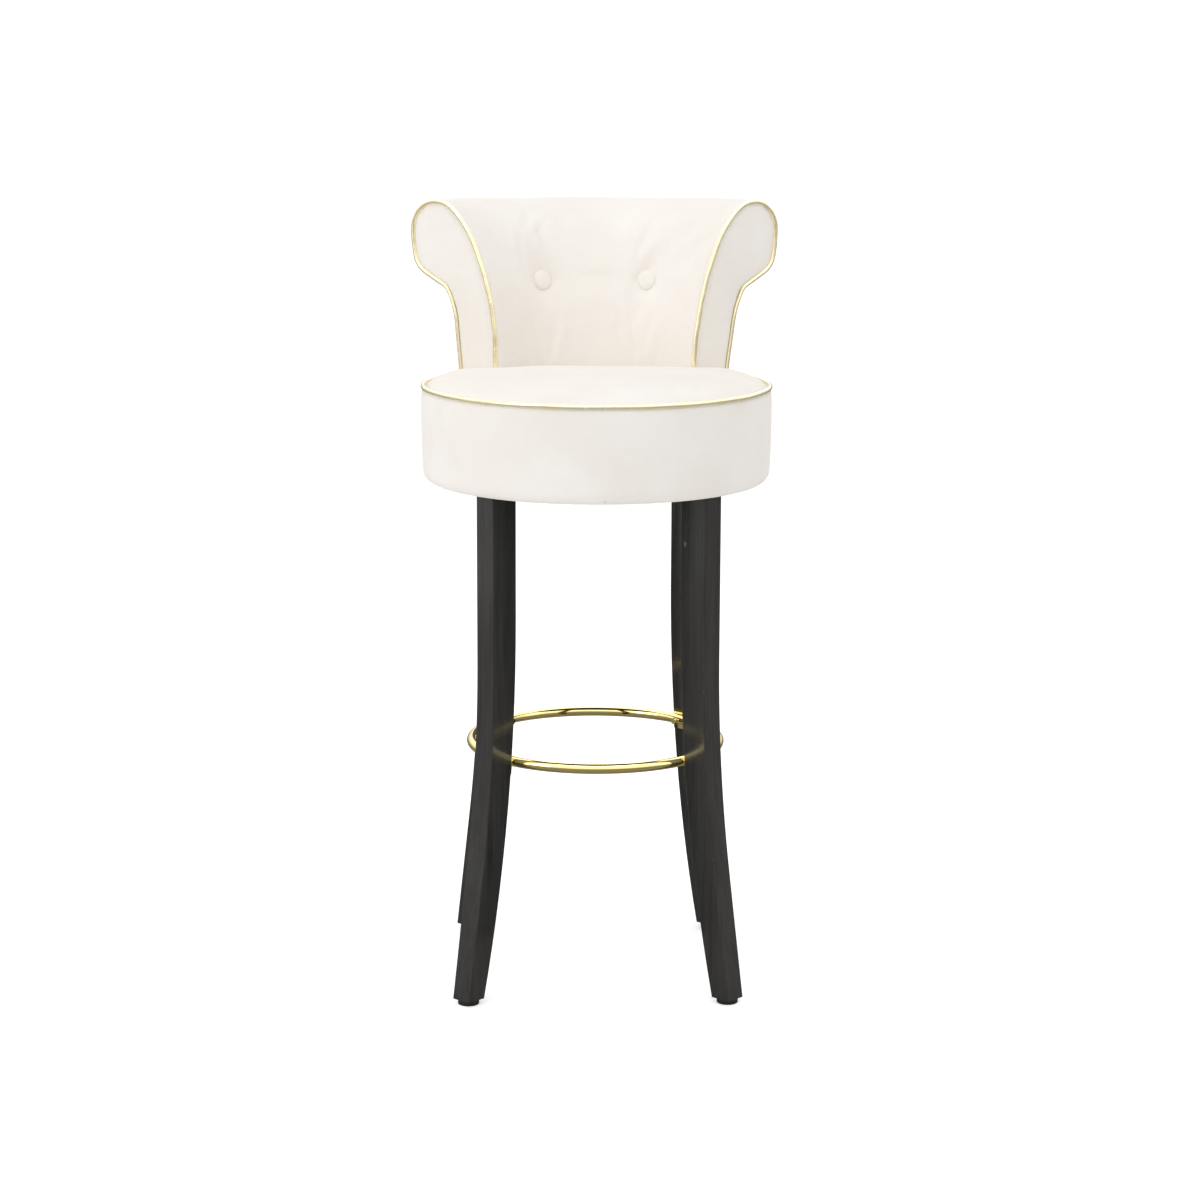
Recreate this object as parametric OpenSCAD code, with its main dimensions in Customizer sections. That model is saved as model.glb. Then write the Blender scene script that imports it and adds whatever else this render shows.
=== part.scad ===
// Upholstered bar stool: a round seat drum with a crowned cushion, a curved back whose top rolls
// outwards into a scroll, four sabre legs and a round footrest ring. Millimetres, +Z up.
// The origin is on the floor, under the middle of the seat. The front faces -Y.

/* [Seat] */
// Height of the seat's top seam above the floor
seat_h = 769; // [640:1:860]
// Diameter of the seat drum over its cover
seat_d = 444; // [400:1:540]
// Height of the seat drum, from its underside to the top seam
drum_h = 121; // [100:1:150]
// Rise of the cushion's crown above the seam
crown_h = 15; // [10:1:30]
// Radius at which the crown turns down to the seam
crown_edge_r = 14; // [8:1:16]
// Radius of the drum's bottom edge
drum_edge_r = 15; // [14:1:20]

/* [Back] */
// Rise of the back's highest seam above the seat seam
back_rise = 223; // [215:1:300]
// Half of the angle through which the back wraps round the seat
back_half_angle = 54; // [45:1:62]
// Gap between the seat's piping and the foot of the back's piping
back_gap = 0.3; // [0.1:0.1:8]
// Lean of the lower inside face, degrees from upright at its top end
lean_low = 26; // [20:1:32]
// Bend radius of the lower inside face
lean_low_r = 352; // [300:1:380]
// Further lean of the upper inside face, in degrees
lean_high = 23; // [18:1:28]
// Bend radius of the upper inside face
lean_high_r = 139; // [110:1:150]
// Radius of the roll where the inside face meets it
roll_start_r = 41; // [36:1:50]
// Radius of the roll's top and front
roll_r = 36; // [32:1:46]
// Radius of the roll's flatter outer side
roll_side_r = 150; // [120:1:200]
// Radius of the roll's lower corner
roll_corner_r = 24; // [22:1:30]
// Length of the roll's flat underside
roll_under = 40; // [34:1:46]
// Radius of the neck below the roll
neck_r = 8; // [7:1:12]
// Radius of the outer face below the neck
nape_r = 110; // [90:1:130]

/* [Legs] */
// Width of a leg across the seat's radius
leg_w = 30; // [26:1:36]
// Depth of a leg along the seat's radius, at its top
leg_depth = 40.5; // [36:0.5:46]
// Height at which the outer edge starts to sweep outwards
outer_sweep_h = 440; // [380:1:480]
// Lean of the outer edge below its bend, in degrees
outer_sweep = 8.7; // [6:0.1:10]
// Bend radius of the outer edge
outer_sweep_r = 1806; // [1500:1:2000]
// Height at which the inner edge starts to sweep outwards
inner_sweep_h = 490; // [440:1:520]
// Bend radius of the inner edge
inner_sweep_r = 2030; // [1750:1:2200]
// Diameter of a glide
glide_d = 27; // [22:1:30]
// Height of a glide below the leg
glide_h = 6.5; // [4:0.5:10]

/* [Footrest] */
// Height of the ring's middle above the floor
ring_h = 305; // [240:1:400]
// Diameter of the ring's tube
tube_d = 13; // [10:0.5:20]
// Wall of the ring's tube
tube_wall = 1.5; // [1:0.5:3]
// Width of the plate between the ring and a leg
tab_w = 26; // [18:1:28]
// Height of that plate
tab_h = 23; // [18:1:34]
// Thickness of that plate
tab_t = 2; // [1.5:0.5:4]

/* [Trim] */
// Diameter of the gold piping
piping_d = 7; // [5:0.5:9]
// Diameter of a back button
button_d = 25; // [18:1:32]
// Distance between the two buttons' middles
button_gap = 132; // [100:1:170]
// Height of the buttons above the seat seam
button_rise = 122; // [90:1:140]

/* [Materials] */
// Thickness of the cover fabric
fabric_t = 2; // [1:0.5:3]
// Thickness of the foam on the inside back and the roll
back_foam_t = 10; // [6:1:12]
// Thickness of the foam wrap on the drum's side
wrap_t = 6; // [4:0.5:8]
// Thickness of the bent plywood hoop
hoop_t = 12; // [10:1:15]
// Thickness of the seat deck
deck_t = 15; // [12:1:18]
// Thickness of the base board
base_t = 12; // [9:1:15]
// Thickness of the bent plywood under the inside back
panel_t = 5; // [3:1:6]
// Thickness of each profile former in the back
former_t = 15; // [12:1:22]

/* [Hidden] */

$fn = 96;
cloth = [0.95, 0.92, 0.87];
gold = [0.86, 0.72, 0.36];
black = [0.16, 0.16, 0.16];
plywood = [0.80, 0.66, 0.46];
foam = [0.93, 0.88, 0.70];
steel = [0.70, 0.71, 0.73];

slip = 0.2;          // gap between pieces that lie against each other
bore_gap = 0.2;      // gap all round a bolt in its bore
arc_step = 7;        // degrees between two points of an arc

// Seat drum, worked inwards from its cover
seat_r = seat_d / 2;
piping_r = piping_d / 2;
drum_z = seat_h - drum_h;
wrap_r = seat_r - fabric_t - slip;
hoop_r = wrap_r - wrap_t - slip;
hoop_in_r = hoop_r - hoop_t;
wrap_edge_r = drum_edge_r - fabric_t - slip;
hoop_step = hoop_r + slip - (seat_r - drum_edge_r);   // the hoop's corner clears the rounded edge
hoop_z = drum_z + drum_edge_r - sqrt(wrap_edge_r * wrap_edge_r - hoop_step * hoop_step) + slip + 0.8;
deck_top_z = seat_h - 14;
deck_z = deck_top_z - deck_t;
base_z = drum_z + fabric_t;
dust_t = 1;
hem_in_r = hoop_in_r + 2;
crown_top_z = seat_h + crown_h;
crown_r = seat_r - piping_r - 1;      // where the top cover meets the piping
crown_foot_z = seat_h - 3;
crown_sag = 2;                        // fall of the crown from its middle to its rounded edge

// Legs: at these angles, front right first, in the order of the leg nodes
leg_names = ["front_right", "rear_right", "rear_left", "front_left"];
leg_angles = [-45, 45, 135, 225];
leg_out_r = hoop_in_r - 0.8;
leg_in_r = leg_out_r - leg_depth;
leg_top_z = deck_z - slip;
cheek_t = 18;
cheek_out_r = leg_out_r - 5;
bolt_d = 8;
bolt_head_d = 13;
bolt_head_h = 4;
nut_h = 6.5;
nut_w = 15;
leg_bolt_zs = [deck_z - 22, base_z + base_t + 23];

// Footrest ring
leg_in_at_ring = leg_in_r + sweep_out(inner_sweep_h - ring_h, inner_sweep_r);
ring_slope = asin((inner_sweep_h - ring_h) / inner_sweep_r);
weld_sink = 0.6;
ring_r = leg_in_at_ring - (tab_t - weld_sink + tube_d / 2) / cos(ring_slope);
tab_drop = 3.5;                       // how far the plate's middle sits below the tube's
screw_d = 4;

// Foot of a leg, and the height at which the outer edge runs straight
outer_bend_z = outer_sweep_h - outer_sweep_r * sin(outer_sweep);
foot_out_r = leg_out_r + outer_edge(glide_h);
foot_in_r = leg_in_r + sweep_out(inner_sweep_h - glide_h, inner_sweep_r);
foot_r = (foot_out_r + foot_in_r) / 2;

// Back: the seam line of a wing, as [radius, turn] arcs and [length, 0] straights, from the inner
// foot, up the inside face, over the roll, in at the neck and down the outer face
back_foot_z = crown_foot_z;
back_setback = 0.5 + piping_d + back_gap;
roll_side_turn = 14;
roll_corner_turn = 47;
neck_turn = 30;
nape_turn = 23;
skirt_turn = 5;
skirt_r = 600;
arc_rise = lean_low_r * sin(lean_low)
    + lean_high_r * (sin(lean_low + lean_high) - sin(lean_low))
    + roll_start_r * (1 - sin(lean_low + lean_high));
upright_run = seat_h + back_rise - back_foot_z - arc_rise;
SEGS = [
    [upright_run, 0],
    [lean_low_r, lean_low],
    [lean_high_r, lean_high],
    [roll_start_r, 90 - lean_low - lean_high],
    [roll_r, 90],
    [roll_side_r, roll_side_turn],
    [roll_corner_r, roll_corner_turn],
    [roll_under, 0],
    [neck_r, -neck_turn],
    [nape_r, -nape_turn],
    [skirt_r, -skirt_turn]
];
TOP_SEG = 3;         // the last arc of the inside face
ROLL_SEG = 7;        // the last stretch of the roll
SKIRT_SEG = 10;      // the last arc of the outer face
BOARD_SEG = 9;       // where the outer board starts, below the neck
loose = [for (i = [0 : SKIRT_SEG + 1]) walk([0, back_foot_z], i)];
skirt_end = loose[SKIRT_SEG + 1];
skirt_run = (skirt_end[0][1] - back_foot_z) / -sin(skirt_end[1]);
wing_w = skirt_end[0][0] + skirt_run * cos(skirt_end[1]);
wing_in_r = seat_r - back_setback - wing_w;
states = [for (i = [0 : SKIRT_SEG + 1]) walk([wing_in_r, back_foot_z], i)];

// Offsets from the seam line, outwards positive
cover_out = fabric_t - 0.5;
cover_in = -0.5;
foam_out = cover_in - slip;
foam_in = foam_out - back_foam_t;
panel_out = foam_in - slip;
panel_in = panel_out - panel_t;
board_t = 3;
board_out = foam_out;
board_in = board_out - board_t;
former_bow = former_t * former_t / (2 * (seat_r - back_setback));   // curve behind a flat former
former_front = panel_in - slip;
former_roll = foam_in - slip - former_bow;
former_rear = board_in - slip - former_bow;

rail_z = deck_top_z + slip;
rail_top_z = rail_z + 35;
rail_in_r = wing_in_r - former_front + 0.5;
rail_out_r = seat_r - back_setback + former_rear - 3;
rail_mid_r = (rail_in_r + rail_out_r) / 2;
rod_r = 12;
roll_mid = states[4][0] - [0, roll_r];
end_former_angle = back_half_angle - 0.4;
back_bolt_angles = [-30, -10, 10, 30];
back_bolt_len = 28;
wing_gap = slip;
wing_panel_t = 5;

// Button seats on the inside face
button_z = seat_h + button_rise;
button_lean = asin((button_z - back_foot_z - upright_run) / lean_low_r);
button_face_r = wing_in_r + lean_low_r * (1 - cos(button_lean)) - cover_out * cos(button_lean);
button_angle = asin(button_gap / 2 / button_face_r);
button_sink = 7;
button_h = 6.5;
tie_d = 2;
toggle_room = 19;                      // from the middle of a tie to the middle of a former
mid_former_angle = button_angle - asin(toggle_room / (button_face_r + 20));

// How far an edge of radius r has moved out after a drop below its start
function sweep_out(drop, r) = drop <= 0 ? 0 : r - sqrt(r * r - drop * drop);

// Outward sweep of a leg's outer edge at a height
function outer_edge(z) = z >= outer_bend_z
    ? sweep_out(outer_sweep_h - z, outer_sweep_r)
    : sweep_out(outer_sweep_h - outer_bend_z, outer_sweep_r) + (outer_bend_z - z) * tan(outer_sweep);

// Point and heading after the first n stretches of the seam line
function walk(start, n) = n == 0
    ? [start, 90]
    : let (s = walk(start, n - 1), g = SEGS[n - 1]) [along(s[0], s[1], g, 1), s[1] - g[1]];
function side(h) = [sin(h), -cos(h)];

// Point at a share t of the way along stretch g, which starts at p with heading h
function along(p, h, g, t) = g[1] == 0
    ? p + t * g[0] * [cos(h), sin(h)]
    : p + sign(g[1]) * g[0] * (side(h) - side(h - t * g[1]));

// Points of stretch i of the seam line, moved outwards by d
function points_in(g) = g[1] == 0 ? 1 : ceil(abs(g[1]) / arc_step);
function stretch(i, d) = let (p = states[i][0], h = states[i][1], g = SEGS[i], n = points_in(g))
    [for (k = [0 : n]) along(p, h, g, k / n) - d * side(h - g[1] * k / n)];
function run(i0, i1, d) = [for (i = [i0 : i1]) each stretch(i, d)];
function backwards(v) = [for (i = [len(v) - 1 : -1 : 0]) v[i]];

// Foot of the outer face, moved outwards by d
function skirt_foot(d) = let (h = skirt_end[1], p = states[SKIRT_SEG + 1][0])
    [p + skirt_run * [cos(h), sin(h)] - d * side(h)];

// Copies the children to the other side of the stool
module left_of(flip) {
    if (flip) mirror([1, 0, 0]) children();
    else children();
}

// Turns a flat outline of radius against height round the seat's axis, over the back's angle
module swept_back(half_angle) {
    rotate([0, 0, 90 - half_angle])
        rotate_extrude(angle = 2 * half_angle)
            children();
}

// Lays a shape that points along +X out along each leg
module at_leg(i) {
    rotate([0, 0, leg_angles[i]]) children();
}

// A cylinder along +X from x0 to x1
module rod_x(x0, x1, d) {
    translate([x0, 0, 0]) rotate([0, 90, 0]) cylinder(h = x1 - x0, d = d);
}

// Space that the back takes in the cushion
module back_footprint() {
    swept_back(back_half_angle + 4)
        translate([wing_in_r - piping_r - 1, back_foot_z - slip])
            square([crown_r - wing_in_r + 20, crown_h + 20]);
    swept_back(back_half_angle)
        translate([rail_in_r - slip, deck_top_z - 1])
            square([rail_out_r - rail_in_r + 2 * slip, 40]);
}

// ---- Seat drum ----

module back_bolt_bores(z0, z1) {
    for (a = back_bolt_angles)
        rotate([0, 0, 90 + a])
            translate([rail_mid_r, 0, z0])
                cylinder(h = z1 - z0, d = bolt_d + 2 * bore_gap);
}

module seat_deck() {
    color(plywood) difference() {
        translate([0, 0, deck_z]) cylinder(h = deck_t, r = hoop_r);
        back_bolt_bores(deck_z - 1, deck_top_z + 1);
    }
}

module leg_bolt_bores(i) {
    at_leg(i) for (z = leg_bolt_zs)
        translate([0, 0, z]) rod_x(leg_in_r - 20, hoop_r + 5, bolt_d + 2 * bore_gap);
}

module seat_hoop() {
    color(plywood) difference() {
        translate([0, 0, hoop_z]) cylinder(h = deck_z - slip - hoop_z, r = hoop_r);
        translate([0, 0, hoop_z - 1]) cylinder(h = drum_h, r = hoop_in_r);
        for (i = [0 : 3]) {
            leg_bolt_bores(i);
            at_leg(i) for (z = leg_bolt_zs)
                translate([0, 0, z])
                    rod_x(hoop_r - bolt_head_h - 1, hoop_r + 5, bolt_head_d + 1);
        }
    }
}

module leg_slots(z0, h) {
    for (i = [0 : 3])
        at_leg(i)
            translate([leg_in_r - slip, -leg_w / 2 - slip, z0])
                cube([leg_depth + 20, leg_w + 2 * slip, h]);
}

module base_board() {
    color(plywood) difference() {
        translate([0, 0, base_z]) cylinder(h = base_t, r = hoop_in_r - slip);
        leg_slots(base_z - 1, base_t + 2);
    }
}

module leg_cheeks() {
    color(plywood)
        for (i = [0 : 3], s = [-1, 1])
            at_leg(i)
                translate([leg_in_r + 4, s > 0 ? leg_w / 2 + slip : -leg_w / 2 - slip - cheek_t,
                        base_z + base_t + slip])
                    cube([cheek_out_r - leg_in_r - 4, cheek_t,
                        leg_top_z - base_z - base_t - slip]);
}

// Half outline of the crown, d inside the cover's face
function crown(d) = let (er = crown_edge_r, top = crown_top_z - d, side_r = crown_r - d,
        edge_top = crown_top_z - crown_sag - d, n = ceil(90 / arc_step))
    concat(
        [[0, top]],
        [for (k = [1 : 5]) let (x = (side_r - er) * k / 6) [x, top - crown_sag * pow(k / 6, 2)]],
        [for (k = [0 : n]) let (a = 90 - 90 * k / n)
            [side_r - er + er * cos(a), edge_top - er + er * sin(a)]]
    );

module seat_foam() {
    color(foam) difference() {
        rotate_extrude()
            polygon(concat([[0, deck_top_z + slip]], crown(fabric_t + slip),
                [[crown_r - fabric_t - slip, deck_top_z + slip]]));
        back_footprint();
    }
}

module seat_top_cover() {
    color(cloth) difference() {
        rotate_extrude()
            polygon(concat(crown(0), [[crown_r, crown_foot_z - 6]],
                [[crown_r - fabric_t, crown_foot_z - 6]], backwards(crown(fabric_t))));
        back_footprint();
    }
}

// Outline of the drum's side at radius r, from the top down and under to the hem
function drum_side(r, z_top, hem_r, hem_z) = let (er = r - (seat_r - drum_edge_r), n = 12)
    concat([[r, z_top]],
        [for (k = [0 : n]) let (a = -90 * k / n)
            [seat_r - drum_edge_r + er * cos(a), drum_z + drum_edge_r + er * sin(a)]],
        [[hem_r, hem_z]]);

module side_padding() {
    color(foam) rotate_extrude()
        polygon(concat(
            drum_side(wrap_r, deck_top_z, hem_in_r + 1, drum_z + fabric_t + slip),
            [[hem_in_r + 1, hoop_z - slip], [hoop_r + slip, hoop_z - slip],
                [hoop_r + slip, deck_top_z]]));
}

module seat_side_band() {
    color(cloth) rotate_extrude()
        polygon(concat(
            drum_side(seat_r, seat_h - piping_r - slip, hem_in_r, drum_z),
            backwards(drum_side(seat_r - fabric_t, seat_h - piping_r - slip, hem_in_r,
                drum_z + fabric_t))));
}

module seat_piping() {
    color(gold) translate([0, 0, seat_h])
        rotate_extrude() translate([seat_r - 0.5, 0]) circle(d = piping_d, $fn = 32);
}

module dust_cover() {
    color(black) difference() {
        translate([0, 0, base_z - slip - dust_t]) cylinder(h = dust_t, r = hem_in_r - slip);
        leg_slots(base_z - 4, 8);
    }
}

// ---- Legs ----

module leg_outline() {
    steps = 14;
    polygon(concat(
        [[leg_out_r, leg_top_z]],
        [for (k = [0 : steps])
            let (z = outer_sweep_h + (outer_bend_z - outer_sweep_h) * k / steps)
            [leg_out_r + outer_edge(z), z]],
        [[foot_out_r, glide_h], [foot_in_r, glide_h]],
        [for (k = [1 : steps])
            let (z = glide_h + (inner_sweep_h - glide_h) * k / steps)
            [leg_in_r + sweep_out(inner_sweep_h - z, inner_sweep_r), z]],
        [[leg_in_r, leg_top_z]]));
}

module leg(i) {
    color(black) difference() {
        at_leg(i) translate([0, leg_w / 2, 0]) rotate([90, 0, 0]) linear_extrude(leg_w) leg_outline();
        leg_bolt_bores(i);
        at_leg(i) translate([foot_r, 0, 0]) cylinder(h = glide_h + 19, d = 3 + 2 * bore_gap);
        at_leg(i) ring_screw_place() rod_x(-tab_t, 24, screw_d + 2 * bore_gap);
    }
}

module glide(i) {
    round_r = 1.5;
    color(black) at_leg(i) translate([foot_r, 0, 0]) difference() {
        rotate_extrude(convexity = 4)
            polygon(concat([[0, 0]],
                [for (k = [0 : 4]) let (a = -90 + 90 * k / 4)
                    [glide_d / 2 - round_r + round_r * cos(a), round_r + round_r * sin(a)]],
                [[glide_d / 2, glide_h - slip / 2], [0, glide_h - slip / 2]]));
        translate([0, 0, 2]) cylinder(h = glide_h, d = 3 + 2 * bore_gap);
        translate([0, 0, 2]) cylinder(h = 2, d = 7 + 2 * bore_gap);
    }
}

module glide_nails() {
    color(steel) for (i = [0 : 3])
        at_leg(i) translate([foot_r, 0, 2.3]) {
            cylinder(h = 1.4, d = 7);
            cylinder(h = glide_h + 14, d = 3);
        }
}

module leg_bolts() {
    head_out = hoop_r - 1;
    color(steel) for (i = [0 : 3], z = leg_bolt_zs)
        at_leg(i) translate([0, 0, z]) {
            rod_x(head_out - bolt_head_h, head_out, bolt_head_d);
            rod_x(leg_in_r - nut_h - 4, head_out - 1, bolt_d);
        }
}

module leg_nuts() {
    color(steel) for (i = [0 : 3], z = leg_bolt_zs)
        at_leg(i) translate([leg_in_r - slip - nut_h, 0, z]) difference() {
            rotate([0, 90, 0]) cylinder(h = nut_h, d = nut_w, $fn = 6);
            rod_x(-1, nut_h + 1, bolt_d + 2 * bore_gap);
        }
}

// ---- Footrest ----

// Puts the origin on the leg's inner edge at the ring, with +X square to that edge
module ring_screw_place() {
    translate([leg_in_at_ring, 0, ring_h]) rotate([0, -ring_slope, 0]) children();
}

module footrest_ring() {
    color(gold) difference() {
        translate([0, 0, ring_h])
            rotate_extrude($fn = 360) translate([ring_r, 0]) difference() {
                circle(d = tube_d, $fn = 32);
                circle(d = tube_d - 2 * tube_wall, $fn = 32);
            }
        for (i = [0 : 3])
            at_leg(i) ring_screw_place()
                rod_x(-tab_t - tube_d - 8, 1, screw_d + 2 * bore_gap);
    }
}

module footrest_tabs() {
    color(gold) difference() {
        for (i = [0 : 3])
            at_leg(i) ring_screw_place() difference() {
                translate([-tab_t - slip / 2, -tab_w / 2, -tab_h / 2 - tab_drop])
                    cube([tab_t, tab_w, tab_h]);
                rod_x(-tab_t - 1, 1, screw_d + 2 * bore_gap);
            }
        translate([0, 0, ring_h])
            rotate_extrude($fn = 360) translate([ring_r, 0]) circle(d = tube_d + slip, $fn = 32);
    }
}

module footrest_screws() {
    head_x = -tab_t - tube_d - 0.3;
    color(gold) for (i = [0 : 3])
        at_leg(i) ring_screw_place() {
            rod_x(head_x - 2.5, head_x, 9);
            rod_x(head_x - 1, 22, screw_d);
        }
}

// ---- Back ----

module back_bottom_rail() {
    color(plywood) difference() {
        swept_back(back_half_angle - 0.4)
            translate([rail_in_r, rail_z])
                square([rail_out_r - rail_in_r, rail_top_z - rail_z]);
        back_bolt_bores(rail_z - 1, rail_z + back_bolt_len + 2);
    }
}

module back_bolts() {
    color(steel) for (a = back_bolt_angles)
        rotate([0, 0, 90 + a]) translate([rail_mid_r, 0, 0]) {
            translate([0, 0, deck_z - slip - bolt_head_h]) cylinder(h = bolt_head_h, d = bolt_head_d);
            translate([0, 0, deck_z - 2])
                cylinder(h = rail_z + back_bolt_len - deck_z + 2, d = bolt_d);
        }
}

module back_top_rail() {
    color(plywood) swept_back(back_half_angle - 0.4)
        translate(roll_mid) circle(r = rod_r, $fn = 48);
}

module former_outline() {
    difference() {
        polygon(concat(run(0, TOP_SEG, former_front), run(TOP_SEG + 1, ROLL_SEG, former_roll),
            run(BOARD_SEG, SKIRT_SEG, former_rear), skirt_foot(former_rear)));
        translate([0, back_foot_z - 20]) square([seat_r * 2, rail_top_z + slip - back_foot_z + 20]);
        translate(roll_mid) circle(r = rod_r + 2 * slip + former_bow, $fn = 48);
    }
}

module former(angle_from_rear, flip) {
    color(plywood) left_of(flip)
        rotate([0, 0, 90 - angle_from_rear])
            rotate([90, 0, 0])
                translate([0, 0, -former_t])
                    linear_extrude(former_t) former_outline();
}

module back_panel() {
    color(plywood) difference() {
        swept_back(back_half_angle)
            polygon(concat(run(0, TOP_SEG, panel_out), backwards(run(0, TOP_SEG, panel_in))));
        tie_bores();
    }
}

module outer_back_board() {
    color([0.62, 0.50, 0.36]) swept_back(back_half_angle)
        polygon(concat(run(BOARD_SEG, SKIRT_SEG, board_out), skirt_foot(board_out),
            skirt_foot(board_in), backwards(run(BOARD_SEG, SKIRT_SEG, board_in))));
}

module back_foam() {
    color(foam) difference() {
        swept_back(back_half_angle)
            polygon(concat(run(0, TOP_SEG, foam_out), backwards(run(0, TOP_SEG, foam_in))));
        button_wells();
        tie_bores();
    }
}

module roll_foam() {
    color(foam) swept_back(back_half_angle)
        polygon(concat(run(TOP_SEG + 1, ROLL_SEG, foam_out),
            backwards(run(TOP_SEG + 1, ROLL_SEG, foam_in))));
}

module inside_back_cover() {
    color(cloth) difference() {
        swept_back(back_half_angle)
            polygon(concat(run(0, ROLL_SEG, cover_out), backwards(run(0, ROLL_SEG, cover_in))));
        button_wells();
    }
}

module outside_back_cover() {
    color(cloth) swept_back(back_half_angle)
        polygon(concat(run(ROLL_SEG + 1, SKIRT_SEG, cover_out), skirt_foot(cover_out),
            skirt_foot(cover_in), backwards(run(ROLL_SEG + 1, SKIRT_SEG, cover_in))));
}

module wing_panel(flip) {
    inset = -piping_r - slip;
    color(cloth) left_of(flip)
        rotate([0, 0, 90 - back_half_angle]) translate([0, -wing_gap, 0]) rotate([90, 0, 0])
            linear_extrude(wing_panel_t)
                polygon(concat(run(0, SKIRT_SEG, inset), skirt_foot(inset)));
}

// Rings of a round tube along the seam line, each square to its heading
tube_sides = 10;
function tube_ring(p, h) = [for (k = [0 : tube_sides - 1])
    let (a = 360 * k / tube_sides, u = side(h))
    [p[0] + piping_r * cos(a) * u[0], p[1] + piping_r * cos(a) * u[1], piping_r * sin(a)]];
tube_path = concat(
    [for (i = [0 : SKIRT_SEG], k = [0 : points_in(SEGS[i]) - 1])
        let (s = states[i], g = SEGS[i], t = k / points_in(g))
        [along(s[0], s[1], g, t), s[1] - t * g[1]]],
    [states[SKIRT_SEG + 1], [skirt_foot(0)[0], skirt_end[1]]]);

module wing_piping(flip) {
    rings = len(tube_path);
    n = tube_sides;
    color(gold) left_of(flip)
        rotate([0, 0, 90 - back_half_angle])
            translate([0, -wing_gap - piping_r, 0])
                rotate([90, 0, 0])
                    polyhedron(
                        points = [for (s = tube_path) each tube_ring(s[0], s[1])],
                        faces = concat(
                            [[for (k = [0 : n - 1]) k]],
                            [for (i = [0 : rings - 2], k = [0 : n - 1]) let (j = (k + 1) % n)
                                [i * n + k, (i + 1) * n + k, (i + 1) * n + j, i * n + j]],
                            [[for (k = [n - 1 : -1 : 0]) (rings - 1) * n + k]]));
}

// ---- Buttons ----

// Puts the origin on the inside face at a button, with +Z pointing out of the face
module button_place(flip) {
    left_of(flip)
        rotate([0, 0, 90 - button_angle])
            translate([button_face_r, 0, button_z])
                rotate([0, -90 + button_lean, 0])
                    children();
}

module button_wells() {
    for (flip = [false, true])
        button_place(flip)
            translate([0, 0, -button_sink]) cylinder(h = button_sink + 20, d = button_d + 1);
}

module tie_bores() {
    for (flip = [false, true])
        button_place(flip) translate([0, 0, -40]) cylinder(h = 50, d = tie_d + 1);
}

module button(flip) {
    dome = 2.5;
    ball_r = (pow(button_d / 2, 2) + dome * dome) / (2 * dome);
    color(cloth) button_place(flip)
        translate([0, 0, slip - button_sink]) intersection() {
            cylinder(h = button_h, d = button_d);
            translate([0, 0, button_h - ball_r]) sphere(r = ball_r);
        }
}

toggle_z = panel_in - cover_out - 1;
module button_ties() {
    color(black) for (flip = [false, true])
        button_place(flip)
            translate([0, 0, toggle_z]) cylinder(h = -button_sink - toggle_z, d = tie_d);
}

module tie_toggles() {
    color(black) for (flip = [false, true])
        button_place(flip)
            translate([0, 0, toggle_z - 3 - slip]) cylinder(h = 3, d = 12);
}

seat_deck();
seat_hoop();
base_board();
leg_cheeks();
seat_foam();
side_padding();
seat_top_cover();
seat_side_band();
seat_piping();
dust_cover();
leg(0);  // leg_front_right
leg(1);  // leg_rear_right
leg(2);  // leg_rear_left
leg(3);  // leg_front_left
glide(0);  // glide_front_right
glide(1);  // glide_rear_right
glide(2);  // glide_rear_left
glide(3);  // glide_front_left
glide_nails();
leg_bolts();
leg_nuts();
footrest_ring();
footrest_tabs();
footrest_screws();
back_bottom_rail();
back_top_rail();
former(end_former_angle, false);  // former_end_right
former(mid_former_angle, false);  // former_mid_right
former(mid_former_angle, true);  // former_mid_left
former(end_former_angle, true);  // former_end_left
back_panel();
outer_back_board();
back_bolts();
back_foam();
roll_foam();
inside_back_cover();
outside_back_cover();
wing_panel(false);  // wing_panel_right
wing_panel(true);  // wing_panel_left
wing_piping(false);  // wing_piping_right
wing_piping(true);  // wing_piping_left
button(false);  // button_right
button(true);  // button_left
button_ties();
tie_toggles();
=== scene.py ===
"""Looks of the upholstered bar stool, built round its CAD frame. Metres, +Z up, front towards -Y."""
import math

import bmesh
import bpy
import numpy as np
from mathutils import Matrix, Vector, noise


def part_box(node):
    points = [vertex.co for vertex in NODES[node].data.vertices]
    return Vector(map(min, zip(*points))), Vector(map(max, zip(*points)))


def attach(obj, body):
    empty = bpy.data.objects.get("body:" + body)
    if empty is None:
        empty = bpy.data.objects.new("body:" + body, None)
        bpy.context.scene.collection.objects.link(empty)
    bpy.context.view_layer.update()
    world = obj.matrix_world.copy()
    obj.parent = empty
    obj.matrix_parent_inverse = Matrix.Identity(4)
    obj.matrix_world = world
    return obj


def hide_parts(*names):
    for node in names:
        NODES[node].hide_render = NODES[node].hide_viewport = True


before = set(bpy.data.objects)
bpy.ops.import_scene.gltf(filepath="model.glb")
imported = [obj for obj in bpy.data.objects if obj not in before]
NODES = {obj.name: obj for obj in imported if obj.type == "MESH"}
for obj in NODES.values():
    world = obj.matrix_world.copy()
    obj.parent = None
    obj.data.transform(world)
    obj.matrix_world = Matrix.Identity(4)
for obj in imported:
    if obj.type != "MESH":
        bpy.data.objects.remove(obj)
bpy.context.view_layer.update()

MM = 0.001
MERGE = 0.01 * MM            # points nearer than this are one point


def add_object(name, data):
    made = bpy.data.objects.new(name, data)
    bpy.context.scene.collection.objects.link(made)
    return made


# ---------------------------------------------------------------- camera, light and floor

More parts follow.
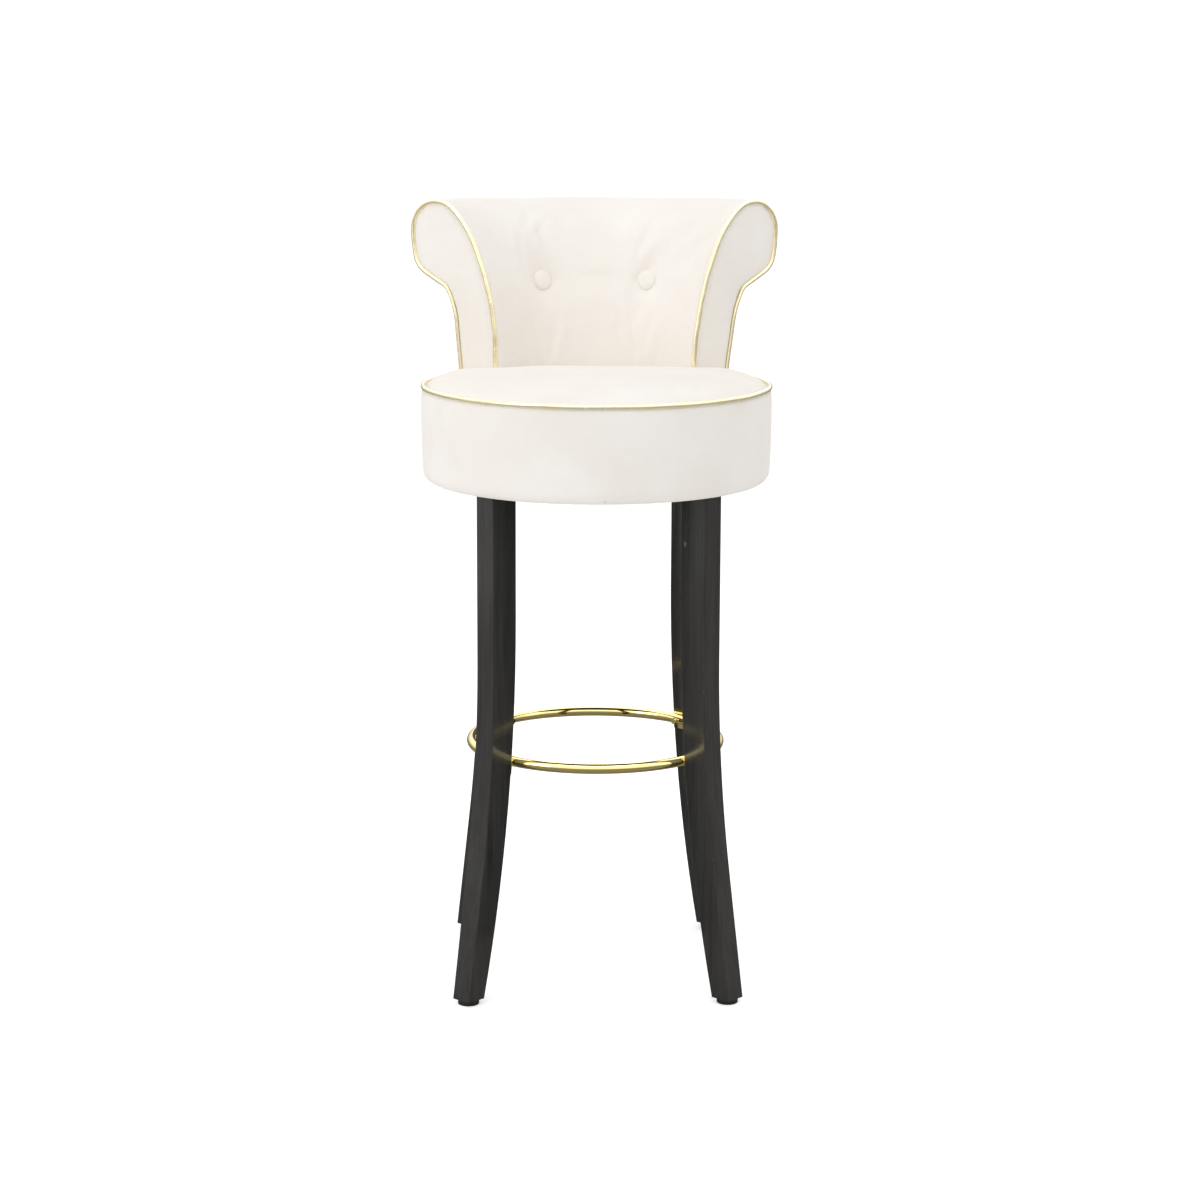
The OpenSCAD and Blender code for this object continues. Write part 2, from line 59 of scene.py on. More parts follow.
CAMERA_DISTANCE = 3.976      # from the seat's axis, along the floor
CAMERA_HEIGHT = 1.263
CAMERA_AROUND = math.radians(1.6)    # how far round to the stool's left side it stands
CAMERA_DOWN = math.radians(11.01)
CAMERA_ASIDE = math.radians(-0.040)
CAMERA_ROLL = math.radians(-0.2)
CAMERA_LENS = 94.0
CAMERA_SENSOR = 36.0

# Name, place, aim, width and height, watts
SOFTBOXES = (
    ("softbox_left", (-2.6, -1.9, 1.7), (0, 0, 0.7), (1.5, 2.2), 17),
    ("strip_left", (-2.8, -0.1, 0.45), (0, 0, 0.45), (0.8, 1.4), 1.1),
    ("softbox_right", (2.7, -1.3, 1.5), (0, 0, 0.7), (0.9, 2.0), 2.5),
    ("softbox_top", (0.0, -0.5, 3.3), (0, 0, 0.8), (2.6, 2.0), 17),
    ("softbox_rear", (0.4, 2.8, 2.0), (0, 0, 0.7), (2.0, 1.6), 8),
)

WHITE_ON_MATT = 0.76         # strength of the white surround where it lights matt surfaces
WHITE_SEEN = 1.1             # and where it is seen directly
ROOM_STRENGTH = 1.7          # strength of the room that polished surfaces mirror
# Share of the way from the room's floor to its ceiling, and the colour there
ROOM_COLOURS = (
    (0.0, (0.30, 0.29, 0.27, 1)),
    (0.44, (0.10, 0.095, 0.09, 1)),
    (0.66, (0.78, 0.77, 0.74, 1)),
    (1.0, (1.0, 1.0, 1.0, 1)),
)


def set_camera():
    data = bpy.data.cameras.new("studio_camera")
    data.lens, data.sensor_width = CAMERA_LENS, CAMERA_SENSOR
    data.clip_start, data.clip_end = 0.05, 60.0
    camera = add_object("studio_camera", data)
    camera.location = (
        -CAMERA_DISTANCE * math.sin(CAMERA_AROUND),
        -CAMERA_DISTANCE * math.cos(CAMERA_AROUND),
        CAMERA_HEIGHT,
    )
    camera.rotation_euler = (math.pi / 2 - CAMERA_DOWN, CAMERA_ROLL, -CAMERA_AROUND + CAMERA_ASIDE)
    bpy.context.scene.camera = camera


def set_lights():
    for name, place, aim, (width, height), watts in SOFTBOXES:
        data = bpy.data.lights.new(name, "AREA")
        data.shape, data.size, data.size_y = "RECTANGLE", width, height
        data.energy = watts
        light = add_object(name, data)
        light.location = place
        light.rotation_euler = (Vector(aim) - Vector(place)).to_track_quat("-Z", "Y").to_euler()


def set_world():
    """White to the eye and to matt surfaces; a dim room with a pale ceiling to polished ones."""
    world = bpy.data.worlds.new("studio")
    bpy.context.scene.world = world
    world.use_nodes = True
    world.node_tree.nodes.clear()
    new, link = world.node_tree.nodes.new, world.node_tree.links.new
    out = new("ShaderNodeOutputWorld")
    white = new("ShaderNodeBackground")
    room = new("ShaderNodeBackground")
    mix = new("ShaderNodeMixShader")
    path = new("ShaderNodeLightPath")
    coords = new("ShaderNodeTexCoord")
    split = new("ShaderNodeSeparateXYZ")
    ramp = new("ShaderNodeValToRGB")
    seen = new("ShaderNodeMapRange")
    raise_z = new("ShaderNodeMath")
    white.inputs["Color"].default_value = (1, 1, 1, 1)
    seen.inputs["To Min"].default_value = WHITE_ON_MATT
    seen.inputs["To Max"].default_value = WHITE_SEEN
    room.inputs["Strength"].default_value = ROOM_STRENGTH
    stops = ramp.color_ramp.elements
    stops[0].color, stops[1].color = ROOM_COLOURS[0][1], ROOM_COLOURS[-1][1]
    for at, colour in ROOM_COLOURS[1:-1]:
        stops.new(at).color = colour
    raise_z.operation = "MULTIPLY_ADD"
    raise_z.inputs[1].default_value = raise_z.inputs[2].default_value = 0.5
    link(path.outputs["Is Camera Ray"], seen.inputs["Value"])
    link(seen.outputs["Result"], white.inputs["Strength"])
    link(coords.outputs["Generated"], split.inputs[0])
    link(split.outputs["Z"], raise_z.inputs[0])
    link(raise_z.outputs[0], ramp.inputs["Fac"])
    link(ramp.outputs["Color"], room.inputs["Color"])
    link(path.outputs["Is Glossy Ray"], mix.inputs["Fac"])
    link(white.outputs[0], mix.inputs[1])
    link(room.outputs[0], mix.inputs[2])
    link(mix.outputs[0], out.inputs["Surface"])


# ---------------------------------------------------------------- materials

def noise_at(point, size, seed=0.0):
    """Smooth noise from -1 to 1 whose lumps are about `size` across."""
    return noise.noise(Vector(point) / size + Vector((seed, 1.7 * seed, 0.3 * seed)))


class Graph:
    """Short calls that add nodes to a shader tree and set or link their sockets."""

    def __init__(self, tree):
        self.tree = tree

    def node(self, kind, **settings):
        made = self.tree.nodes.new(kind)
        for key, value in settings.items():
            setattr(made, key, value)
        return made

    def put(self, value, socket):
        if isinstance(value, bpy.types.NodeSocket):
            self.tree.links.new(value, socket)
        else:
            socket.default_value = value


class Shader(Graph):
    """One material: a Principled shader and the nodes that feed it."""

    def __init__(self, name, **constants):
        self.material = bpy.data.materials.new(name)
        self.material.use_nodes = True
        super().__init__(self.material.node_tree)
        self.face = self.tree.nodes["Principled BSDF"]
        for key, value in constants.items():
            self.face.inputs[key.replace("_", " ")].default_value = value
        self.coords = self.node("ShaderNodeTexCoord").outputs["Object"]

    def turned(self, turn):
        mapping = self.node("ShaderNodeMapping")
        mapping.inputs["Rotation"].default_value = turn
        self.put(self.coords, mapping.inputs["Vector"])
        return mapping.outputs["Vector"]

    def group(self, tree, **values):
        made = self.node("ShaderNodeGroup", node_tree=tree)
        for key, value in values.items():
            self.put(value, made.inputs[key.replace("_", " ")])
        return made.outputs

    def bump(self, height, strength, distance):
        made = self.node("ShaderNodeBump")
        made.inputs["Strength"].default_value = strength
        made.inputs["Distance"].default_value = distance
        self.put(height, made.inputs["Height"])
        self.put(made.outputs["Normal"], self.face.inputs["Normal"])


class Effect(Graph):
    """A node group that several materials share. It puts out colours, masks and heights only."""

    def __init__(self, name, inputs, outputs):
        super().__init__(bpy.data.node_groups.new(name, "ShaderNodeTree"))
        new_socket = self.tree.interface.new_socket
        for label, kind, default in inputs:
            made = new_socket(label, in_out="INPUT", socket_type="NodeSocket" + kind)
            if default is not None:
                made.default_value = default
        for label, kind in outputs:
            new_socket(label, in_out="OUTPUT", socket_type="NodeSocket" + kind)
        self.start = self.node("NodeGroupInput").outputs
        self.end = self.node("NodeGroupOutput").inputs

    def noise(self, vector, scale, detail=3.0, rough=0.55):
        made = self.node("ShaderNodeTexNoise")
        made.inputs["Detail"].default_value = detail
        made.inputs["Roughness"].default_value = rough
        self.put(vector, made.inputs["Vector"])
        self.put(scale, made.inputs["Scale"])
        return made.outputs["Fac"]

    def math(self, operation, a, b):
        made = self.node("ShaderNodeMath", operation=operation)
        self.put(a, made.inputs[0])
        self.put(b, made.inputs[1])
        return made.outputs[0]

    def spread(self, value, low, high, to_low=0.0, to_high=1.0):
        """The value stretched so that low becomes to_low and high becomes to_high."""
        made = self.node("ShaderNodeMapRange")
        for item, label in ((value, "Value"), (low, "From Min"), (high, "From Max"),
                            (to_low, "To Min"), (to_high, "To Max")):
            self.put(item, made.inputs[label])
        return made.outputs["Result"]

    def blend(self, factor, a, b):
        made = self.node("ShaderNodeMix", data_type="RGBA")
        self.put(factor, made.inputs["Factor"])
        self.put(a, made.inputs[6])
        self.put(b, made.inputs[7])
        return made.outputs[2]

    def stretch(self, vector, scale):
        made = self.node("ShaderNodeMapping")
        self.put(vector, made.inputs["Vector"])
        self.put(scale, made.inputs["Scale"])
        return made.outputs["Vector"]


def make_nap():
    """Pile of velvet or fluff of felt: broad brushed patches, small lumps and single tufts."""
    fx = Effect(
        "pile_nap",
        [("Vector", "Vector", None), ("Light", "Color", (1, 1, 1, 1)),
         ("Dark", "Color", (0.5, 0.5, 0.5, 1)), ("Patch size", "Float", 9.0), ("Tuft size", "Float", 900.0)],
        [("Color", "Color"), ("Roughness", "Float"), ("Height", "Float")],
    )
    patches = fx.noise(fx.start["Vector"], fx.start["Patch size"], 2.0, 0.5)
    lumps = fx.noise(fx.start["Vector"], fx.math("MULTIPLY", fx.start["Tuft size"], 0.12), 2.0)
    tufts = fx.noise(fx.start["Vector"], fx.start["Tuft size"], 1.0)
    shade = fx.math("ADD", fx.spread(patches, 0.32, 0.68, 0, 0.62), fx.math("MULTIPLY", lumps, 0.38))
    shade = fx.math("MINIMUM", shade, 1.0)
    height = fx.math("ADD", fx.math("MULTIPLY", tufts, 0.6), fx.math("MULTIPLY", lumps, 0.8))
    fx.put(fx.blend(shade, fx.start["Dark"], fx.start["Light"]), fx.end["Color"])
    fx.put(fx.spread(patches, 0.3, 0.7, 0.82, 0.94), fx.end["Roughness"])
    fx.put(height, fx.end["Height"])
    return fx.tree


def make_grain():
    """Wood grain along the vector's Z: long fibres, darker bands and short open pores."""
    fx = Effect(
        "wood_grain",
        [("Vector", "Vector", None), ("Light", "Color", (1, 1, 1, 1)),
         ("Dark", "Color", (0.5, 0.5, 0.5, 1)), ("Fibre size", "Float", 260.0)],
        [("Color", "Color"), ("Roughness", "Float"), ("Height", "Float")],
    )
    along = fx.stretch(fx.start["Vector"], (1, 1, 0.035))
    fibres = fx.noise(along, fx.start["Fibre size"], 4.0, 0.6)
    bands = fx.noise(along, fx.math("MULTIPLY", fx.start["Fibre size"], 0.18), 2.0)
    short = fx.stretch(fx.start["Vector"], (1, 1, 0.09))
    flecks = fx.noise(short, fx.math("MULTIPLY", fx.start["Fibre size"], 3.2), 1.0)
    pores = fx.math("SUBTRACT", fx.spread(flecks, 0.30, 0.40), 1.0)
    tone = fx.math("ADD", fx.math("MULTIPLY", fibres, 0.6), fx.math("MULTIPLY", bands, 0.5))
    fx.put(fx.blend(fx.spread(tone, 0.38, 0.70), fx.start["Dark"], fx.start["Light"]), fx.end["Color"])
    fx.put(fx.spread(fibres, 0.3, 0.7, 0.34, 0.50), fx.end["Roughness"])
    fx.put(fx.math("ADD", pores, fx.math("MULTIPLY", fibres, 0.5)), fx.end["Height"])
    return fx.tree


def make_handling():
    """Handling marks on metal and plastic: soft smears and hair-fine scratches."""
    fx = Effect(
        "handling_marks",
        [("Vector", "Vector", None), ("Clean", "Float", 0.1), ("Worn", "Float", 0.3),
         ("Smear size", "Float", 30.0)],
        [("Roughness", "Float"), ("Height", "Float")],
    )
    smears = fx.noise(fx.start["Vector"], fx.start["Smear size"], 3.0, 0.6)
    drawn = fx.stretch(fx.start["Vector"], (9, 1, 9))
    hairs = fx.noise(drawn, fx.math("MULTIPLY", fx.start["Smear size"], 9.0), 2.0)
    marks = fx.math("MULTIPLY", fx.spread(smears, 0.45, 0.75), fx.spread(hairs, 0.35, 0.75))
    fx.put(fx.spread(marks, 0.0, 0.6, fx.start["Clean"], fx.start["Worn"]), fx.end["Roughness"])
    height = fx.math("ADD", fx.math("MULTIPLY", smears, 0.8), fx.math("MULTIPLY", hairs, 0.2))
    fx.put(height, fx.end["Height"])
    return fx.tree


def make_edge_wear():
    """Rubbed spots on the edges that the mesh marks, and a few nicks elsewhere."""
    fx = Effect(
        "edge_wear",
        [("Vector", "Vector", None), ("Surface", "Color", (0.5, 0.5, 0.5, 1)),
         ("Bare", "Color", (0.6, 0.5, 0.4, 1)), ("Edge", "Float", 0.0), ("Amount", "Float", 0.3)],
        [("Color", "Color"), ("Lacquer", "Float")],
    )
    spots = fx.noise(fx.stretch(fx.start["Vector"], (1, 1, 0.4)), 95.0, 3.0, 0.65)
    reach = fx.math("SUBTRACT", 0.74, fx.math("MULTIPLY", fx.start["Amount"], 0.3))
    on_edge = fx.math("MULTIPLY", fx.spread(spots, reach, fx.math("ADD", reach, 0.05)), fx.start["Edge"])
    nicks = fx.spread(fx.noise(fx.start["Vector"], 60.0, 1.0), 0.80, 0.82)
    worn = fx.math("MAXIMUM", fx.math("MULTIPLY", on_edge, 0.7), nicks)
    fx.put(fx.blend(worn, fx.start["Surface"], fx.start["Bare"]), fx.end["Color"])
    fx.put(fx.spread(worn, 0.0, 1.0, 0.75, 0.1), fx.end["Lacquer"])
    return fx.tree


NAP, GRAIN, HANDLING, WEAR = make_nap(), make_grain(), make_handling(), make_edge_wear()


def pile(name, light, dark, sheen=0.0, patch=9.0, tuft=900.0, depth=0.25):
    """A cloth or foam material."""
    sh = Shader(name, Sheen_Weight=sheen, Sheen_Roughness=0.35, Sheen_Tint=(1.0, 0.97, 0.92, 1),
                Specular_IOR_Level=0.2)
    nap = sh.group(NAP, Vector=sh.coords, Light=light, Dark=dark, Patch_size=patch, Tuft_size=tuft)
    sh.put(nap["Color"], sh.face.inputs["Base Color"])
    sh.put(nap["Roughness"], sh.face.inputs["Roughness"])
    sh.bump(nap["Height"], 0.5, depth * MM)
    return sh.material


def timber(name, light, dark, fibre, turn=(0, 0, 0)):
    """A wood material; turn lays the grain in another direction."""
    sh = Shader(name, Specular_IOR_Level=0.45)
    grain = sh.group(GRAIN, Vector=sh.turned(turn), Light=light, Dark=dark, Fibre_size=fibre)
    sh.put(grain["Color"], sh.face.inputs["Base Color"])
    sh.put(grain["Roughness"], sh.face.inputs["Roughness"])
    sh.bump(grain["Height"], 0.6, 0.2 * MM)
    return sh.material


def make_black_wood():
    """Black stain and satin lacquer over open grain, rubbed through in small spots along the edges."""
    sh = Shader("black_wood", Specular_IOR_Level=0.3, Coat_IOR=1.7, Coat_Roughness=0.12)
    grain = sh.group(GRAIN, Vector=sh.coords, Light=(0.028, 0.027, 0.027, 1),
                     Dark=(0.008, 0.008, 0.0082, 1), Fibre_size=260.0)
    eased = sh.node("ShaderNodeAttribute", attribute_name="eased_edge").outputs["Fac"]
    wear = sh.group(WEAR, Vector=sh.coords, Surface=grain["Color"], Bare=(0.12, 0.105, 0.09, 1),
                    Edge=eased, Amount=0.30)
    sh.put(wear["Color"], sh.face.inputs["Base Color"])
    sh.put(grain["Roughness"], sh.face.inputs["Roughness"])
    sh.put(wear["Lacquer"], sh.face.inputs["Coat Weight"])
    sh.bump(grain["Height"], 0.5, 0.15 * MM)
    return sh.material


def handled(name, colour, metallic, clean, worn, smear=30.0, depth=0.02, coat=0.0):
    """A metal or plastic material."""
    sh = Shader(name, Base_Color=colour, Metallic=metallic, Coat_Weight=coat, Coat_Roughness=0.06)
    marks = sh.group(HANDLING, Vector=sh.coords, Clean=clean, Worn=worn, Smear_size=smear)
    sh.put(marks["Roughness"], sh.face.inputs["Roughness"])
    sh.bump(marks["Height"], 0.4, depth * MM)
    return sh.material


VELVET = pile("cream_velvet", (0.935, 0.902, 0.862, 1), (0.875, 0.828, 0.765, 1), sheen=0.35, depth=0.35)
DUST_CLOTH = pile("dust_cloth", (0.035, 0.035, 0.036, 1), (0.015, 0.015, 0.016, 1), patch=40, tuft=1400)
TWINE = pile("waxed_twine", (0.30, 0.25, 0.18, 1), (0.18, 0.14, 0.10, 1), patch=300, tuft=3000)
FIBREBOARD = pile("fibreboard", (0.36, 0.25, 0.15, 1), (0.24, 0.16, 0.09, 1), patch=30, tuft=1200)
BLACK_WOOD = make_black_wood()
PLYWOOD = timber("birch_plywood", (0.66, 0.50, 0.31, 1), (0.46, 0.31, 0.17, 1), fibre=180,
                 turn=(0, math.pi / 2, 0))
BEECH = timber("beech", (0.62, 0.42, 0.25, 1), (0.45, 0.28, 0.15, 1), fibre=220)
GOLD_CORD = handled("gold_piping", (0.94, 0.84, 0.55, 1), 0.6, 0.20, 0.34, smear=60, depth=0.12, coat=0.6)
GOLD_TUBE = handled("gold_tube", (0.96, 0.80, 0.36, 1), 1.0, 0.04, 0.12)
ZINC = handled("zinc_steel", (0.62, 0.62, 0.60, 1), 1.0, 0.28, 0.50, smear=120)
BLACK_PLASTIC = handled("black_plastic", (0.012, 0.012, 0.012, 1), 0.0, 0.45, 0.62, smear=90)


# ---------------------------------------------------------------- mesh helpers

def add_piece(name, points, faces, material):
    mesh = bpy.data.meshes.new(name)
    mesh.from_pydata([tuple(p) for p in points], [], [tuple(f) for f in faces])
    mesh.materials.append(material)
    mesh.validate()
    mesh.update()
    made = add_object(name, mesh)
    mesh.shade_smooth()
    return made


def grid_faces(rows, cols, round_rows=False, round_cols=False):
    """Faces of a grid of points numbered row by row, closed round on itself if asked."""
    faces = []
    for i in range(rows if round_rows else rows - 1):
        for j in range(cols if round_cols else cols - 1):
            a, b = i * cols + j, i * cols + (j + 1) % cols
            c, d = (i + 1) % rows * cols + (j + 1) % cols, (i + 1) % rows * cols + j
            faces.append((a, b, c, d))
    return faces


def shell_faces(rows, cols):
    """Faces of a closed shell: an outer grid, an inner grid after it, and the rim that joins them."""
    outer = grid_faces(rows, cols)
    n = rows * cols
    inner = [tuple(n + k for k in reversed(f)) for f in outer]
    edge = list(range(cols)) + [i * cols + cols - 1 for i in range(1, rows)]
    edge += [(rows - 1) * cols + j for j in range(cols - 2, -1, -1)]
    edge += [i * cols for i in range(rows - 2, 0, -1)]
    rim = [(edge[k], n + edge[k], n + edge[(k + 1) % len(edge)], edge[(k + 1) % len(edge)])
           for k in range(len(edge))]
    return outer + inner + rim


def outward(made):
    """Turns all faces of a closed piece outwards."""
    bm = bmesh.new()
    bm.from_mesh(made.data)
    bmesh.ops.remove_doubles(bm, verts=bm.verts, dist=MERGE)
    bmesh.ops.recalc_face_normals(bm, faces=bm.faces)
    bm.to_mesh(made.data)
    bm.free()
    made.data.update()
    return made


def settle(made, kind="SUBSURF", **settings):
    """Adds a modifier, applies it and leaves a plain mesh."""
    modifier = made.modifiers.new(kind.lower(), kind)
    for key, value in settings.items():
        setattr(modifier, key, value)
    deps = bpy.context.evaluated_depsgraph_get()
    mesh = bpy.data.meshes.new_from_object(made.evaluated_get(deps))
    made.modifiers.clear()
    old, made.data = made.data, mesh
    bpy.data.meshes.remove(old)
    return made


def tube(name, path, radius, material, sides=14, closed=False, wobble=0.0):
    """A round tube along points; radius may be a number or one for each point."""
    path = np.asarray(path, float)
    n = len(path)
    step = (np.roll(path, -1, 0) - np.roll(path, 1, 0)) if closed else np.gradient(path, axis=0)
    step /= np.linalg.norm(step, axis=1)[:, None]
    radii = np.broadcast_to(np.asarray(radius, float), (n,))
    side = np.cross(step[0], (0, 0, 1.0) if abs(step[0][2]) < 0.9 else (1.0, 0, 0))
    points = []
    for k in range(n):
        side = side - step[k] * np.dot(side, step[k])
        side /= np.linalg.norm(side)
        up = np.cross(step[k], side)
        for j in range(sides):
            a = 2 * math.pi * j / sides
            r = radii[k] * (1 + wobble * noise_at(path[k] + side * math.cos(a) * 2 * MM, 9 * MM, 3))
            points.append(path[k] + r * (math.cos(a) * side + math.sin(a) * up))
    faces = grid_faces(n, sides, round_rows=closed, round_cols=True)
    if not closed:
        faces += [tuple(range(sides)), tuple((n - 1) * sides + j for j in reversed(range(sides)))]
    return outward(add_piece(name, points, faces, material))


def cad_copy(node, name):
    """A copy of a CAD node with its points merged, and its mesh open for editing."""
    made = add_object(name, NODES[node].data.copy())
    bm = bmesh.new()
    bm.from_mesh(made.data)
    bmesh.ops.remove_doubles(bm, verts=bm.verts, dist=MERGE)
    return made, bm


def close_copy(made, bm, material):
    bm.to_mesh(made.data)
    bm.free()
    made.data.materials.clear()
    made.data.materials.append(material)


def shade(made, sharp_angle):
    """Smooth shading, apart from the edges sharper than this many degrees."""
    made.data.shade_smooth()
    made.data.set_sharp_from_angle(angle=math.radians(sharp_angle))


def finish_piece(made, *replaced, padded=None):
    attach(made, "root")
    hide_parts(*replaced)
    return made


# ---------------------------------------------------------------- the wings' seam line

def wing_loop(node):
    """Radius and height along the edge of a wing's face, and the wing's radial direction."""
    bm = bmesh.new()
    bm.from_mesh(NODES[node].data)
    bmesh.ops.remove_doubles(bm, verts=bm.verts, dist=MERGE)
    bm.normal_update()
    front = max((f for f in bm.faces if f.normal.y < -0.3), key=lambda f: f.calc_area())
    normal = Vector((front.normal.x, front.normal.y, 0)).normalized()
    radial = Vector((-normal.y, normal.x, 0)) if normal.x > 0 else Vector((normal.y, -normal.x, 0))
    face_at = max(v.co.dot(normal) for v in bm.verts)
    ours = {v for v in bm.verts if v.co.dot(normal) > face_at - 0.5 * MM}
    follow = {}
    for edge in bm.edges:
        if ours.issuperset(edge.verts) and sum(ours.issuperset(f.verts) for f in edge.link_faces) == 1:
            a, b = edge.verts
            follow.setdefault(a.index, []).append(b.index)
            follow.setdefault(b.index, []).append(a.index)
    bm.verts.ensure_lookup_table()
    place = {k: (bm.verts[k].co.dot(radial), bm.verts[k].co.z) for k in follow}
    foot = min(z for _, z in place.values())
    low = [k for k in follow if place[k][1] < foot + 1.0 * MM]
    start = min(low, key=lambda k: place[k][0])
    end = max(low, key=lambda k: place[k][0])
    loop = [start]
    here = max(follow[start], key=lambda k: place[k][1])
    while here != end:
        loop.append(here)
        here = next(k for k in follow[here] if k not in loop)
    loop.append(end)
    bm.free()
    return np.array([place[k] for k in loop]), radial


def even_steps(line, count):
    """The same line with evenly spaced points."""
    run = np.concatenate([[0], np.cumsum(np.linalg.norm(np.diff(line, axis=0), axis=1))])
    at = np.linspace(0, run[-1], count)
    return np.stack([np.interp(at, run, line[:, k]) for k in range(line.shape[1])], 1)


def softened(line, passes):
    """Rounds the small corners of an evenly stepped line and keeps its ends."""
    line = line.copy()
    for _ in range(passes):
        line[1:-1] = 0.25 * line[:-2] + 0.5 * line[1:-1] + 0.25 * line[2:]
    return line


def edge_normals(line):
    run = np.gradient(line, axis=0)
    run /= np.linalg.norm(run, axis=1)[:, None]
    return np.stack([-run[:, 1], run[:, 0]], 1)


_low, _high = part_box("seat_piping")
CORD_R = (_high.z - _low.z) / 2
SEAM_Z = (_high.z + _low.z) / 2
SEAT_R = _high.x - CORD_R
PANEL_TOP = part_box("wing_panel_right")[1].z
PANEL_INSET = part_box("wing_piping_right")[1].z - CORD_R - PANEL_TOP
SEAM_POINTS = 320
_board, RADIAL = wing_loop("wing_panel_right")
_board = softened(even_steps(_board, SEAM_POINTS), 5)
SEAM = softened(even_steps(_board + PANEL_INSET * edge_normals(_board), SEAM_POINTS), 4)
HALF_ANGLE = math.atan2(RADIAL.x, RADIAL.y)


def find_neck(line):
    """Index of the sharpest inward bend after the top."""
    run = np.gradient(line, axis=0)
    bend = np.gradient(run, axis=0)
    turn = run[:, 0] * bend[:, 1] - run[:, 1] * bend[:, 0]
    top = int(np.argmax(line[:, 1]))
    return top + int(np.argmax(turn[top:-12]))


def stuffed(line):
    """The stuffing pushes the roll and the outer face out past the board; the foot stays put."""
    top, neck = int(np.argmax(line[:, 1])), find_neck(line)
    at = np.arange(len(line))
    out = np.interp(at, [top, top + 30, neck - 22, neck, neck + 40, len(line) - 8],
                    [0, 4.2 * MM, 5.2 * MM, 3.8 * MM, 2.0 * MM, 0])
    out = softened(out, 12)
    return even_steps(line + out[:, None] * edge_normals(line), len(line))


SEAM = stuffed(SEAM)
SEAM_OUT = edge_normals(SEAM)
TOP_AT = int(np.argmax(SEAM[:, 1]))
NECK_AT = find_neck(SEAM)
BACK_ASIDE = 1.8 * MM        # how far the back's top stands to the right of its foot
ASIDE_RISE = 0.09            # height above the foot at which it has got there
BACK_R = 0.2                 # about the radius of the back's foot


def seam_at(index, out=0.0):
    """Radius and height at a place along the seam line, which may lie between two points."""
    k = np.arange(SEAM_POINTS)
    line = SEAM + out * SEAM_OUT
    return np.interp(index, k, line[:, 0]), np.interp(index, k, line[:, 1])


def round_seat(angle, radius, height):
    """A point at an angle from the rear, positive to the right seen from the front."""
    return np.array((radius * math.sin(angle), radius * math.cos(angle), height))


def aside(height):
    """How far the back stands to the right at a height, growing smoothly from its foot."""
    rise = min(max((height - SEAM[0, 1]) / ASIDE_RISE, 0), 1)
    return BACK_ASIDE * rise * rise * (3 - 2 * rise)


def round_back(angle, radius, height):
    """The same for the back, which stands a little to one side."""
    return round_seat(angle, radius, height) + (aside(height), 0, 0)


# ---------------------------------------------------------------- cloth

CLOTH_FRAMES = 20
CLOTH_STIFFNESS = 12


def simulate(made, pinned, pressure, cap, shrink):
    """Inflates a closed cover with its pinned points held, caps how far it moves, keeps a plain mesh."""
    before = np.array([v.co for v in made.data.vertices])
    group = made.vertex_groups.new(name="held")
    for weight in sorted(set(np.round(pinned[pinned > 0], 2))):
        group.add([int(k) for k in np.flatnonzero(np.round(pinned, 2) == weight)], float(weight), "REPLACE")
    cloth = made.modifiers.new("cloth", "CLOTH")
    cloth.settings.quality = 6
    cloth.settings.mass = 0.3
    cloth.settings.tension_stiffness = cloth.settings.compression_stiffness = CLOTH_STIFFNESS
    cloth.settings.bending_stiffness = 2.0
    cloth.settings.shrink_min = shrink
    cloth.settings.use_pressure = True
    cloth.settings.uniform_pressure_force = pressure
    cloth.settings.effector_weights.gravity = 0
    cloth.settings.vertex_group_mass = "held"
    cloth.collision_settings.use_collision = False
    cloth.point_cache.frame_start, cloth.point_cache.frame_end = 1, CLOTH_FRAMES
    for k in range(1, CLOTH_FRAMES + 1):
        bpy.context.scene.frame_set(k)
    deps = bpy.context.evaluated_depsgraph_get()
    after = np.array([v.co for v in made.evaluated_get(deps).data.vertices])
    made.modifiers.clear()
    made.vertex_groups.clear()
    bpy.context.scene.frame_set(1)
    move = after - before
    size = np.linalg.norm(move, axis=1)
    move *= (np.minimum(size, cap) / np.maximum(size, 1e-9))[:, None]
    for v, co in zip(made.data.vertices, before + move):
        v.co = co
    return settle(made, "SMOOTH", factor=0.5, iterations=2)


# ---------------------------------------------------------------- seat

CROWN_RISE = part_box("seat_top_cover")[1].z - SEAM_Z
CUSHION_R = SEAT_R - CORD_R * 0.6
CUSHION_GRID = 76
DOME = 2.5 * MM              # rise of the crown's middle over its shoulder
BACK_DENT = 3.5 * MM         # how deep the foot of the back sits in the cushion
REAR_DENT = 14.5 * MM        # how much lower the cushion lies towards the back
DRUM_CORNER = 15 * MM        # radius of the drum's bottom edge
SIDE_PUFF = 1.6 * MM         # swell of the drum's side between its seams
SIDE_STEPS = 288
CORD_SHARE = 0.86            # the cord's radius as a share of the CAD piping's, which its waves fill


def crown_height(radius):
    """Height of the cushion's crown above the seam at a radius."""
    inward = max(CUSHION_R - radius, 0.0)
    shoulder = 1 - math.exp(-((inward / (10 * MM)) ** 0.85))
    return (CROWN_RISE - DOME) * shoulder + DOME * (1 - (radius / CUSHION_R) ** 2)


def distance_to_back(x, y):
    """How far a point of the seat lies outside the foot of the back."""
    radius, angle = math.hypot(x, y), abs(math.atan2(x, y))
    inside = seam_at(0)[0] - radius
    beside = (angle - HALF_ANGLE) * radius
    if beside <= 0:
        return max(inside, 0)
    return math.hypot(max(inside, 0), beside)


